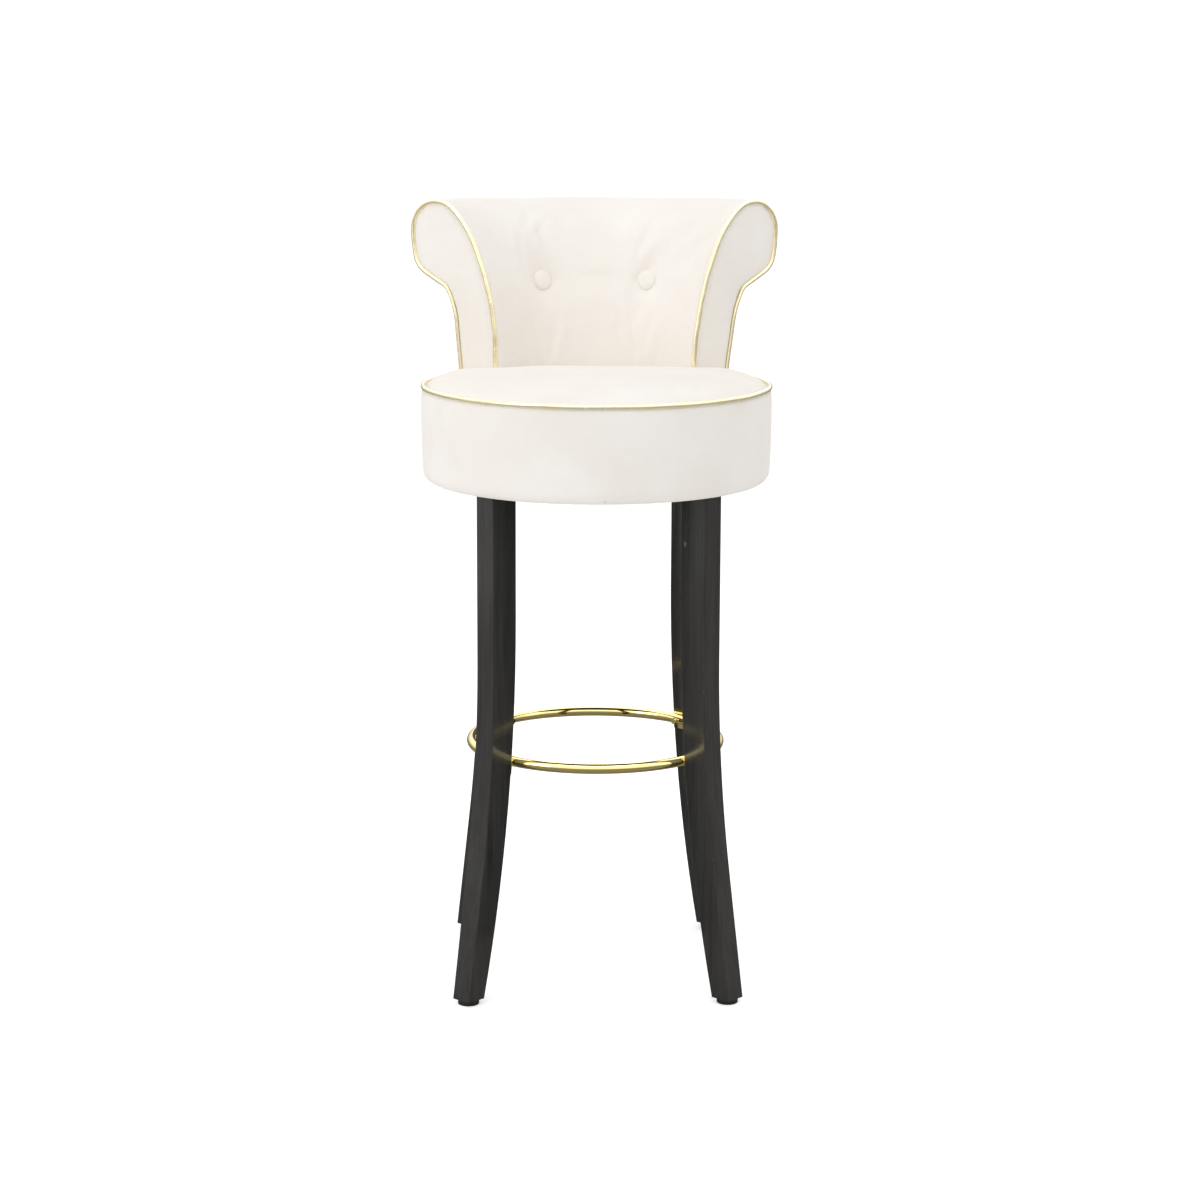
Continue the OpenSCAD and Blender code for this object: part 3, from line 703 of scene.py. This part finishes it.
def make_seat_cushion():
    """Crowned cushion: a square grid bent to a disc, so that no pole shows, on a straight edge."""
    n = CUSHION_GRID
    points, held = [], []
    for i in range(n + 1):
        for j in range(n + 1):
            u, v = 2 * i / n - 1, 2 * j / n - 1
            x = CUSHION_R * u * math.sqrt(1 - v * v / 2)
            y = CUSHION_R * v * math.sqrt(1 - u * u / 2)
            radius = min(math.hypot(x, y), CUSHION_R)
            z = SEAM_Z - 1.5 * MM + crown_height(radius)
            z += 1.1 * MM * noise_at((x, y, 0), 0.11, 4) * min((CUSHION_R - radius) / 0.03, 1)
            z -= BACK_DENT * math.exp(-((distance_to_back(x, y) / (11 * MM)) ** 2))
            z -= REAR_DENT * max(y / (radius + 0.01), 0) ** 4 * min(radius / 0.16, 1) ** 3
            points.append((x, y, z))
            border = i in (0, n) or j in (0, n)
            held.append(1.0 if border or distance_to_back(x, y) < 1 * MM else 0.0)
    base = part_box("seat_foam")[0].z
    top = len(points)
    points += [(x, y, base) for x, y, _ in points]
    held += [1.0] * top
    made = outward(add_piece("seat_cushion", points, shell_faces(n + 1, n + 1), VELVET))
    simulate(made, np.array(held), pressure=3, cap=2.5 * MM, shrink=0.0)
    settle(made, levels=1, render_levels=1)
    return finish_piece(made, "seat_top_cover", "seat_foam", padded=0.8)


def side_profile():
    """Radius and height of the drum's side from the piping down to the hem, puffed between its seams."""
    low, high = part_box("seat_side_band")
    radius, bottom, top = high.x, low.z, SEAM_Z - 1.2 * MM
    corner = DRUM_CORNER
    line = []
    for k in range(22):
        t = k / 21
        z = top + (bottom + corner - top) * t
        bulge = SIDE_PUFF * (1 - math.exp(-t / 0.06)) - SIDE_PUFF * t ** 2
        line.append((radius - 1.8 * MM * math.exp(-t / 0.03) + bulge, z))
    for k in range(1, 10):
        a = -math.pi / 2 * k / 9
        line.append((radius - corner + corner * math.cos(a), bottom + corner + corner * math.sin(a)))
    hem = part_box("dust_cover")[1].x
    for k in range(1, 4):
        line.append((hem + (radius - corner - hem) * (1 - k / 3), bottom + 0.6 * MM * k / 3))
    return np.array(line)


def make_seat_side():
    """Upholstered side of the drum, with its closing seam at the rear."""
    outer = side_profile()
    around = SIDE_STEPS
    inner_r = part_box("seat_hoop")[1].x + 0.3 * MM
    thick = 2.2 * MM
    hem_r, hem_z = outer[-1]
    inner = np.array([(max(min(r - thick, inner_r), hem_r), max(z, hem_z + thick)) for r, z in outer])
    section = np.vstack([outer, inner[::-1]])
    points = []
    for k in range(around):
        angle = 2 * math.pi * k / around
        rear = (angle + math.pi) % (2 * math.pi) - math.pi
        for m, (radius, z) in enumerate(section):
            pull = 0.0
            if m < len(outer):
                t = m / (len(outer) - 1)
                here = round_seat(angle, radius, z)
                belly = math.sin(math.pi * min(t * 1.1, 1))
                pull = 0.9 * MM * noise_at(here * (1, 1, 0.5), 0.13, 8) * belly
                pull += 0.35 * MM * noise_at(here, 0.03, 2) * t
                pull -= 1.1 * MM * math.exp(-((rear * radius / (1.5 * MM)) ** 2))
            points.append(round_seat(angle, radius + pull, z))
    faces = grid_faces(around, len(section), round_rows=True, round_cols=True)
    made = outward(add_piece("seat_side", points, faces, VELVET))
    return finish_piece(made, "seat_side_band", "side_padding", padded=0.9)


def make_seat_piping():
    """Piping along the seat's seam, with the slight waves of a cord sewn in by hand."""
    count = 420
    path = []
    for k in range(count):
        a = 2 * math.pi * k / count
        heading = (math.cos(a), math.sin(a), 0)
        drift = 0.35 * MM * noise_at(heading, 0.25, 5)
        rise = 0.45 * MM * noise_at(heading, 0.2, 9)
        path.append(round_seat(a, SEAT_R + drift - 0.4 * MM, SEAM_Z + rise))
    made = tube("seat_piping_cord", path, CORD_R * CORD_SHARE, GOLD_CORD, sides=16,
                closed=True, wobble=0.05)
    return finish_piece(made, "seat_piping")


# ---------------------------------------------------------------- back

def button_spots():
    """Angle, seam index and point of each button, from its CAD node."""
    spots = []
    for node in ("button_left", "button_right"):
        low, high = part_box(node)
        middle = (low + high) / 2
        index = np.interp(middle.z, SEAM[:TOP_AT, 1], np.arange(TOP_AT))
        spots.append((math.atan2(middle.x, middle.y), index))
    return spots


BUTTONS = button_spots()
_low, _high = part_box("button_left")
BUTTON_R = (_high.z - _low.z) / 2
BUTTON_PULL = 9.5 * MM       # how deep the buttons are drawn in
PULL_REACH = 19 * MM         # how far round a button the cover follows it
CREASE = 0.20                # depth of the crease between the buttons, as a share of that
PAD_PUFF = 1.8 * MM          # swell of the inside back between its seams
WING_PUFF = 5.2 * MM         # and of a wing's face


def button_pull(point):
    """How far the cover is drawn in at a point by the two buttons, and by the crease between them."""
    deep = groove = 0.0
    centres = [round_back(a, *seam_at(i)) for a, i in BUTTONS]
    for centre in centres:
        away = np.linalg.norm(point - centre)
        groove = max(groove, math.exp(-(((away - BUTTON_R) / (3 * MM)) ** 2)))
        deep = max(deep, math.exp(-((max(away - BUTTON_R * 0.8, 0) / PULL_REACH) ** 1.1)))
    along = (point[0] - centres[0][0]) / (centres[1][0] - centres[0][0])
    level = point[2] - centres[0][2] - 2 * MM
    crease = CREASE * math.exp(-((level / (7 * MM)) ** 2))
    crease *= max(math.sin(math.pi * min(max(along, 0), 1)), 0) ** 0.5
    return BUTTON_PULL * max(deep, crease) + 1.5 * MM * groove


def make_back_pad():
    """Inside back and roll in one cover, drawn in by two buttons."""
    across, along = 97, 113
    reach = HALF_ANGLE + CORD_R * 0.9 / BACK_R
    index = np.linspace(0, NECK_AT + 2, along)
    points, inner, held = [], [], []
    for i in range(along):
        edge_s = min(i, along - 1 - i) / (along - 1)
        for j in range(across):
            angle = reach * (2 * j / (across - 1) - 1)
            edge_a = min(j, across - 1 - j) / (across - 1)
            here = round_back(angle, *seam_at(index[i]))
            puff = PAD_PUFF * (1 - math.exp(-edge_a / 0.03)) * (1 - 0.6 * math.exp(-edge_s / 0.02))
            puff += 0.5 * MM
            puff += 0.7 * MM * noise_at(here, 0.12, 6) * min(edge_a / 0.05, 1)
            points.append(round_back(angle, *seam_at(index[i], puff - button_pull(here))))
            inner.append(round_back(angle * 0.995, *seam_at(index[i], -10.4 * MM)))
            near = min(np.linalg.norm(here - round_back(a, *seam_at(k))) for a, k in BUTTONS)
            fixed = edge_a == 0 or edge_s == 0 or near < BUTTON_R * 0.75
            held.append(1.0 if fixed else 0.0)
    faces = shell_faces(along, across)
    made = outward(add_piece("back_pad", points + inner, faces, VELVET))
    simulate(made, np.array(held + [1.0] * len(inner)), pressure=6, cap=3.5 * MM, shrink=-0.003)
    settle(made, levels=1, render_levels=1)
    return finish_piece(made, "inside_back_cover", "back_foam", "roll_foam", padded=0.75)


def make_outside_back():
    """Plain cover of the outer face, from the neck down."""
    across, along = 121, 41
    index = np.linspace(NECK_AT - 1, SEAM_POINTS - 1, along)
    reach = HALF_ANGLE + CORD_R * 0.8 / BACK_R
    outer, inner = [], []
    for i in range(along):
        for j in range(across):
            angle = reach * (2 * j / (across - 1) - 1)
            edge_a = min(j, across - 1 - j) / (across - 1)
            here = round_back(angle, *seam_at(index[i]))
            out = 1.2 * MM * (1 - math.exp(-edge_a / 0.02)) - 0.2 * MM
            out += 0.5 * MM * noise_at(here, 0.1, 12)
            outer.append(round_back(angle, *seam_at(index[i], out)))
            inner.append(round_back(angle, *seam_at(index[i], -0.9 * MM)))
    faces = shell_faces(along, across)
    made = outward(add_piece("outside_back", outer + inner, faces, VELVET))
    return finish_piece(made, "outside_back_cover", padded=0.5)


WING_OUT = Vector((RADIAL.y, -RADIAL.x, 0))
WING_START = min(v.co.dot(WING_OUT) for v in NODES["wing_panel_right"].data.vertices)


def on_wing(side, radius, z, out):
    """A point of a wing at a radius and height, and so far out from the board's rear face."""
    out += WING_START
    x = side * (RADIAL.x * radius + RADIAL.y * out) + aside(z)
    return np.array((x, RADIAL.y * radius - RADIAL.x * out, z))


def make_wing_face(side, name, node):
    """Padded wing face: rungs from the inner edge to the outer edge, up to the top of the roll."""
    rows, cols = 86, 25
    split = 0.45             # share of the rungs that lie below the neck
    last = SEAM_POINTS - 1
    turn_in = np.argmin(abs(SEAM[:TOP_AT, 1] - (SEAM[NECK_AT, 1] + 12 * MM)))
    front, rear = [], []
    for i in range(rows):
        t = i / (rows - 1)
        if t < split:
            a, b = turn_in * t / split, last - (last - NECK_AT) * t / split
        else:
            q = (t - split) / (1 - split)
            a, b = turn_in + (TOP_AT - turn_in) * q, NECK_AT - (NECK_AT - TOP_AT) * q
        inner = np.array(seam_at(a, -1.2 * MM))
        outer = np.array(seam_at(b, -1.2 * MM))
        for j in range(cols):
            s = j / (cols - 1)
            s = s - 0.12 * math.sin(2 * math.pi * s) / (2 * math.pi) * 2
            radius, z = inner * (1 - s) + outer * s
            gap = min(s, 1 - s) * np.linalg.norm(outer - inner)
            gap = min(gap, (z - SEAM[0, 1] + 0.03) * 0.5, SEAM[TOP_AT, 1] - z + 1 * MM)
            puff = WING_PUFF * (1 - math.exp(-max(gap, 0) / (9 * MM))) + 0.8 * MM
            puff += 0.7 * MM * noise_at((radius * side, 0, z), 0.05, 14) * min(gap / (12 * MM), 1)
            on_roll = outer[0] > SEAM[-1, 0] + 12 * MM
            pinch = math.exp(-((gap - 5 * MM) / (5 * MM)) ** 2) if on_roll else 0.0
            puff += 0.8 * MM * pinch * noise_at((radius * side, 3, z), 0.011, 21)
            front.append(on_wing(side, radius, z, puff))
            rear.append(on_wing(side, radius, z, 0.0))
    made = outward(add_piece(name, front + rear, shell_faces(rows, cols), VELVET))
    return finish_piece(made, node, padded=0.7)


def make_wing_piping(side, name, node):
    """Piping round a wing, a little thinner where it runs down the outer face."""
    count = 360
    index = np.linspace(0, SEAM_POINTS - 1, count)
    path, radii = [], []
    for k in index:
        radius, z = seam_at(k)
        drift = 0.35 * MM * noise_at((radius * side, 1, z), 0.05, 17)
        path.append(on_wing(side, *seam_at(k, drift - 0.4 * MM), CORD_R * 0.85 + drift))
        thin = 1 / (1 + math.exp(-(k - NECK_AT) / 3))
        radii.append(CORD_R * (CORD_SHARE - 0.22 * thin))
    made = tube(name, path, radii, GOLD_CORD, sides=16, wobble=0.05)
    return finish_piece(made, node)


# A button's cap from its middle to its underside: share of its radius, and height in mm
CAP_SECTION = ((0.0, 5.6), (0.25, 5.5), (0.48, 5.2), (0.68, 4.7), (0.84, 3.9), (0.95, 2.7), (1.0, 1.2),
               (1.0, -0.4), (0.93, -1.6), (0.74, -2.4))


def make_button(side, name, node):
    """Covered button: a domed cap with fine puckers at its rim, turned under to a flat back."""
    angle, index = BUTTONS[0 if side < 0 else 1]
    centre = round_back(angle, *seam_at(index))
    nearby = [np.array(seam_at(index + k)) for k in (-1, 1)]
    run = (nearby[1] - nearby[0]) / np.linalg.norm(nearby[1] - nearby[0])
    out = np.array((-run[1] * math.sin(angle), -run[1] * math.cos(angle), run[0]))
    tangent = np.array((math.cos(angle), -math.sin(angle), 0))
    up = np.cross(out, tangent)
    around = 72
    points = []
    for k in range(around):
        a = 2 * math.pi * k / around
        for share, height in CAP_SECTION:
            pucker = 0.010 * math.sin(22 * a) * share ** 4
            r = BUTTON_R * 1.03 * share * (1 + pucker)
            lift = height * MM - BUTTON_PULL + 2.2 * MM
            points.append(centre + r * (math.cos(a) * tangent + math.sin(a) * up) + lift * out)
    cols = len(CAP_SECTION)
    faces = grid_faces(around, cols, round_rows=True)
    faces.append(tuple(k * cols + cols - 1 for k in range(around)))
    made = outward(add_piece(name, points, faces, VELVET))
    return finish_piece(made, node, padded=1.0)


# ---------------------------------------------------------------- legs and footrest

LEG_EASING = 1.5 * MM
METAL_EASING = 0.5 * MM
GLIDE_EASING = 1.0 * MM
CORNERS = ("front_right", "rear_right", "rear_left", "front_left")


def make_leg(name):
    """A leg with its long edges eased."""
    made, bm = cad_copy(name, name + "_eased")
    bmesh.ops.dissolve_limit(bm, angle_limit=math.radians(0.05), verts=bm.verts, edges=bm.edges)
    bm.normal_update()
    low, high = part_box(name)
    middle = (low + high) / 2
    out = Vector((math.copysign(1, middle.x), math.copysign(1, middle.y), 0)).normalized()
    across = Vector((-out.y, out.x, 0))
    edges = [e for e in bm.edges if len(e.link_faces) == 2
             and sum(abs(f.normal.dot(across)) > 0.99 for f in e.link_faces) == 1
             and e.calc_face_angle() > 1.2]
    eased = bmesh.ops.bevel(bm, geom=edges, offset=LEG_EASING, segments=3, profile=0.5, affect="EDGES")
    eased = set(eased["faces"])
    mark = bm.loops.layers.float.new("eased_edge")
    for face in bm.faces:
        for corner in face.loops:
            corner[mark] = 1.0 if face in eased else 0.0
    close_copy(made, bm, BLACK_WOOD)
    shade(made, 35)
    settle(made, "WEIGHTED_NORMAL", keep_sharp=True, weight=100)
    return finish_piece(made, name)


def make_ring():
    """Footrest ring: one round tube without a visible joint."""
    low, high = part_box("footrest_ring")
    tube_r = (high.z - low.z) / 2
    ring_r = high.x - tube_r
    middle = (high.z + low.z) / 2
    path = [round_seat(2 * math.pi * k / 360, ring_r, middle) for k in range(360)]
    made = tube("footrest_tube", path, tube_r, GOLD_TUBE, sides=32, closed=True)
    return finish_piece(made, "footrest_ring")


def make_eased_copy(node, name, width, material):
    """A hard part with its sharp edges taken off."""
    made, bm = cad_copy(node, name)
    bmesh.ops.dissolve_limit(bm, angle_limit=math.radians(0.5), verts=bm.verts, edges=bm.edges)
    close_copy(made, bm, material)
    settle(made, "BEVEL", width=width, segments=3, limit_method="ANGLE", angle_limit=math.radians(50))
    shade(made, 40)
    settle(made, "WEIGHTED_NORMAL", keep_sharp=True, weight=100)
    return finish_piece(made, node)


# ---------------------------------------------------------------- underside

CLOTH_GRID = 9 * MM
CLOTH_CUTS = 23              # cuts of that grid each way from the middle
CLOTH_SLACK = 2.0 * MM


def make_dust_sheet():
    """Black dust cloth, drawn tight at its staples and a little slack between the legs."""
    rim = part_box("dust_cover")[1].x
    made, bm = cad_copy("dust_cover", "dust_sheet")
    for axis in (Vector((1, 0, 0)), Vector((0, 1, 0))):
        for k in range(-CLOTH_CUTS, CLOTH_CUTS + 1):
            everything = bm.verts[:] + bm.edges[:] + bm.faces[:]
            cut = axis * (k * CLOTH_GRID + 0.3 * MM)
            bmesh.ops.bisect_plane(bm, geom=everything, plane_co=cut, plane_no=axis)
    for v in bm.verts:
        radius = math.hypot(v.co.x, v.co.y)
        slack = max(1 - (radius / (rim - 3 * MM)) ** 2, 0)
        angle = math.atan2(v.co.y, v.co.x)
        drawn = 0.35 * MM * math.sin(40 * angle) * min(radius / rim, 1) ** 6 * min(slack * 8, 1)
        v.co.z -= slack * (CLOTH_SLACK + 0.6 * MM * noise_at(v.co, 0.06, 31)) + drawn
    close_copy(made, bm, DUST_CLOTH)
    shade(made, 50)
    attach(made, "root")
    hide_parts("dust_cover")
    return made


def nodes_tree(name, numbers):
    """An empty Geometry Nodes tree with named number inputs."""
    tree = bpy.data.node_groups.new(name, "GeometryNodeTree")
    tree.interface.new_socket("Geometry", in_out="OUTPUT", socket_type="NodeSocketGeometry")
    for label in numbers:
        kind = "NodeSocketInt" if label in ("Count", "Seed") else "NodeSocketFloat"
        tree.interface.new_socket(label, in_out="INPUT", socket_type=kind)
    return tree, tree.nodes.new("NodeGroupInput").outputs, tree.nodes.new("NodeGroupOutput").inputs


def add_node(tree, kind, values=(), **settings):
    made = tree.nodes.new(kind)
    for key, value in settings.items():
        setattr(made, key, value)
    for label, value in dict(values).items():
        if isinstance(value, bpy.types.NodeSocket):
            tree.links.new(value, made.inputs[label])
        else:
            made.inputs[label].default_value = value
    return made


def grown_mesh(name, tree, values):
    """The plain mesh that a Geometry Nodes tree makes with these values."""
    made = add_object(name, bpy.data.meshes.new(name))
    modifier = made.modifiers.new("grow", "NODES")
    modifier.node_group = tree
    for item in tree.interface.items_tree:
        if item.in_out == "INPUT" and item.name in values:
            modifier[item.identifier] = values[item.name]
    deps = bpy.context.evaluated_depsgraph_get()
    mesh = bpy.data.meshes.new_from_object(made.evaluated_get(deps))
    made.modifiers.clear()
    made.data = mesh
    return made


def staple_tree():
    """Wire staples set round a circle, with gaps where the legs come through."""
    labels = ("Count", "Seed", "Circle radius", "Height", "Staple width", "Wire radius", "Leg gap")
    tree, start, end = nodes_tree("staple_ring", labels)

    def calc(operation, *values):
        return add_node(tree, "ShaderNodeMath", dict(enumerate(values)), operation=operation).outputs[0]

    circle = add_node(tree, "GeometryNodeMeshCircle",
                      {"Vertices": start["Count"], "Radius": start["Circle radius"]})
    position = add_node(tree, "GeometryNodeInputPosition").outputs[0]
    x, y, _ = add_node(tree, "ShaderNodeSeparateXYZ", {0: position}).outputs
    off_diagonal = calc("ABSOLUTE", calc("SUBTRACT", calc("ABSOLUTE", x), calc("ABSOLUTE", y)))
    near_leg = calc("LESS_THAN", off_diagonal, start["Leg gap"])
    kept = add_node(tree, "GeometryNodeDeleteGeometry",
                    {"Geometry": circle.outputs[0], "Selection": near_leg})
    points = add_node(tree, "GeometryNodeMeshToPoints", {"Mesh": kept.outputs[0]})
    arc = add_node(tree, "GeometryNodeCurvePrimitiveBezierSegment", {"Resolution": 8})
    half = calc("MULTIPLY", start["Staple width"], 0.5)
    other = calc("MULTIPLY", half, -1.0)
    for label, reach, depth in (("Start", other, 0.6 * MM), ("Start Handle", other, -1.3 * MM),
                                ("End Handle", half, -1.3 * MM), ("End", half, 0.6 * MM)):
        corner = add_node(tree, "ShaderNodeCombineXYZ", {"X": reach, "Z": depth})
        tree.links.new(corner.outputs[0], arc.inputs[label])
    ring = add_node(tree, "GeometryNodeCurvePrimitiveCircle",
                    {"Resolution": 6, "Radius": start["Wire radius"]})
    wire = add_node(tree, "GeometryNodeCurveToMesh",
                    {"Curve": arc.outputs[0], "Profile Curve": ring.outputs[0], "Fill Caps": True})
    random = add_node(tree, "FunctionNodeRandomValue", {"Seed": start["Seed"]}, data_type="FLOAT")
    random.inputs[2].default_value, random.inputs[3].default_value = math.radians(80), math.radians(100)
    turned = calc("ADD", calc("ARCTAN2", y, x), random.outputs[1])
    spin = add_node(tree, "ShaderNodeCombineXYZ", {"Z": turned})
    placed = add_node(tree, "GeometryNodeInstanceOnPoints", {
        "Points": points.outputs[0], "Instance": wire.outputs[0], "Rotation": spin.outputs[0]})
    lift = add_node(tree, "ShaderNodeCombineXYZ", {"Z": start["Height"]})
    raised = add_node(tree, "GeometryNodeTranslateInstances", {
        "Instances": placed.outputs[0], "Translation": lift.outputs[0], "Local Space": False})
    real = add_node(tree, "GeometryNodeRealizeInstances", {"Geometry": raised.outputs[0]})
    coloured = add_node(tree, "GeometryNodeSetMaterial",
                        {"Geometry": real.outputs[0], "Material": ZINC})
    tree.links.new(coloured.outputs[0], end["Geometry"])
    return tree


def make_staples():
    """The staples that hold the dust cloth to the base board."""
    low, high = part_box("dust_cover")
    values = {"Count": 48, "Seed": 7, "Circle radius": high.x - 4.5 * MM, "Height": low.z - 0.25 * MM,
              "Staple width": 10 * MM, "Wire radius": 0.45 * MM, "Leg gap": 32 * MM}
    made = grown_mesh("dust_sheet_staples", staple_tree(), values)
    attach(made, "root")
    return made


def make_hem_knot():
    """The tied-off end of the thread that closes the side cover, under its front edge."""
    path = []
    low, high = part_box("seat_side_band")
    at = round_seat(math.pi, high.y - 3.2 * MM, low.z + 4.4 * MM)
    for k in range(64):
        a = 2 * math.pi * k / 64
        r = (1.6 + 0.6 * math.cos(3 * a)) * MM
        path.append(at + (3.2 * MM + r * math.cos(2 * a), -0.3 * MM + 0.45 * MM * math.sin(3 * a),
                          r * math.sin(2 * a)))
    made = tube("hem_knot", path, 0.42 * MM, VELVET, sides=8, closed=True)
    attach(made, "root")
    return made


# ---------------------------------------------------------------- scene

def finish_frame_nodes():
    """Gives the CAD parts that stay as they are the material each is made of."""
    finishes = {
        PLYWOOD: ("seat_deck", "seat_hoop", "base_board", "back_panel", "former_end_right",
                  "former_mid_right", "former_mid_left", "former_end_left"),
        BEECH: ("leg_cheeks", "back_bottom_rail", "back_top_rail"),
        FIBREBOARD: ("outer_back_board",),
        DUST_CLOTH: ("dust_cover",),
        GOLD_TUBE: ("footrest_tabs", "footrest_screws"),
        ZINC: ("leg_bolts", "leg_nuts", "back_bolts", "glide_nails"),
        BLACK_PLASTIC: ("glide_front_right", "glide_rear_right", "glide_rear_left", "glide_front_left",
                        "tie_toggles"),
        TWINE: ("button_ties",),
    }
    for material, names in finishes.items():
        for name in names:
            mesh = NODES[name].data
            mesh.materials.clear()
            mesh.materials.append(material)


FLOOR_HALF = 40
FLOOR_GLOW = 0.42            # brings the floor up to the white surround, for the eye only
FLOOR_COLOUR = (0.95, 0.95, 0.95, 1)
FLOOR_MIRRORED = (0.27, 0.26, 0.24, 1)   # the darker floor that polished surfaces mirror


def make_floor():
    """White studio floor."""
    mesh = bpy.data.meshes.new("floor")
    corners = [(-1, -1), (1, -1), (1, 1), (-1, 1)]
    mesh.from_pydata([(x * FLOOR_HALF, y * FLOOR_HALF, 0) for x, y in corners], [], [(0, 1, 2, 3)])
    floor = add_object("floor", mesh)
    sh = Shader("studio_floor", Roughness=0.8, Specular_IOR_Level=0.0, Emission_Color=(1, 1, 1, 1))
    path = sh.node("ShaderNodeLightPath")
    glow = sh.node("ShaderNodeMapRange")
    glow.inputs["To Max"].default_value = FLOOR_GLOW
    sh.put(path.outputs["Is Camera Ray"], glow.inputs["Value"])
    sh.put(glow.outputs["Result"], sh.face.inputs["Emission Strength"])
    dark = sh.node("ShaderNodeMix", data_type="RGBA")
    dark.inputs[6].default_value = FLOOR_COLOUR
    dark.inputs[7].default_value = FLOOR_MIRRORED
    sh.put(path.outputs["Is Glossy Ray"], dark.inputs["Factor"])
    sh.put(dark.outputs[2], sh.face.inputs["Base Color"])
    mesh.materials.append(sh.material)


set_camera()
set_lights()
set_world()
make_floor()
bpy.context.scene.view_settings.view_transform = "Standard"
finish_frame_nodes()
make_seat_cushion()
make_seat_side()
make_seat_piping()
make_back_pad()
make_outside_back()
for hand, label in ((-1, "left"), (1, "right")):
    make_wing_face(hand, f"wing_face_{label}", f"wing_panel_{label}")
    make_wing_piping(hand, f"wing_cord_{label}", f"wing_piping_{label}")
    make_button(hand, f"covered_button_{label}", f"button_{label}")
for label in CORNERS:
    make_leg(f"leg_{label}")
make_ring()
make_eased_copy("footrest_tabs", "footrest_plates", METAL_EASING, GOLD_TUBE)
make_eased_copy("footrest_screws", "footrest_screw_set", METAL_EASING, GOLD_TUBE)
for label in CORNERS:
    make_eased_copy(f"glide_{label}", f"glide_pad_{label}", GLIDE_EASING, BLACK_PLASTIC)
make_dust_sheet()
make_staples()
make_hem_knot()
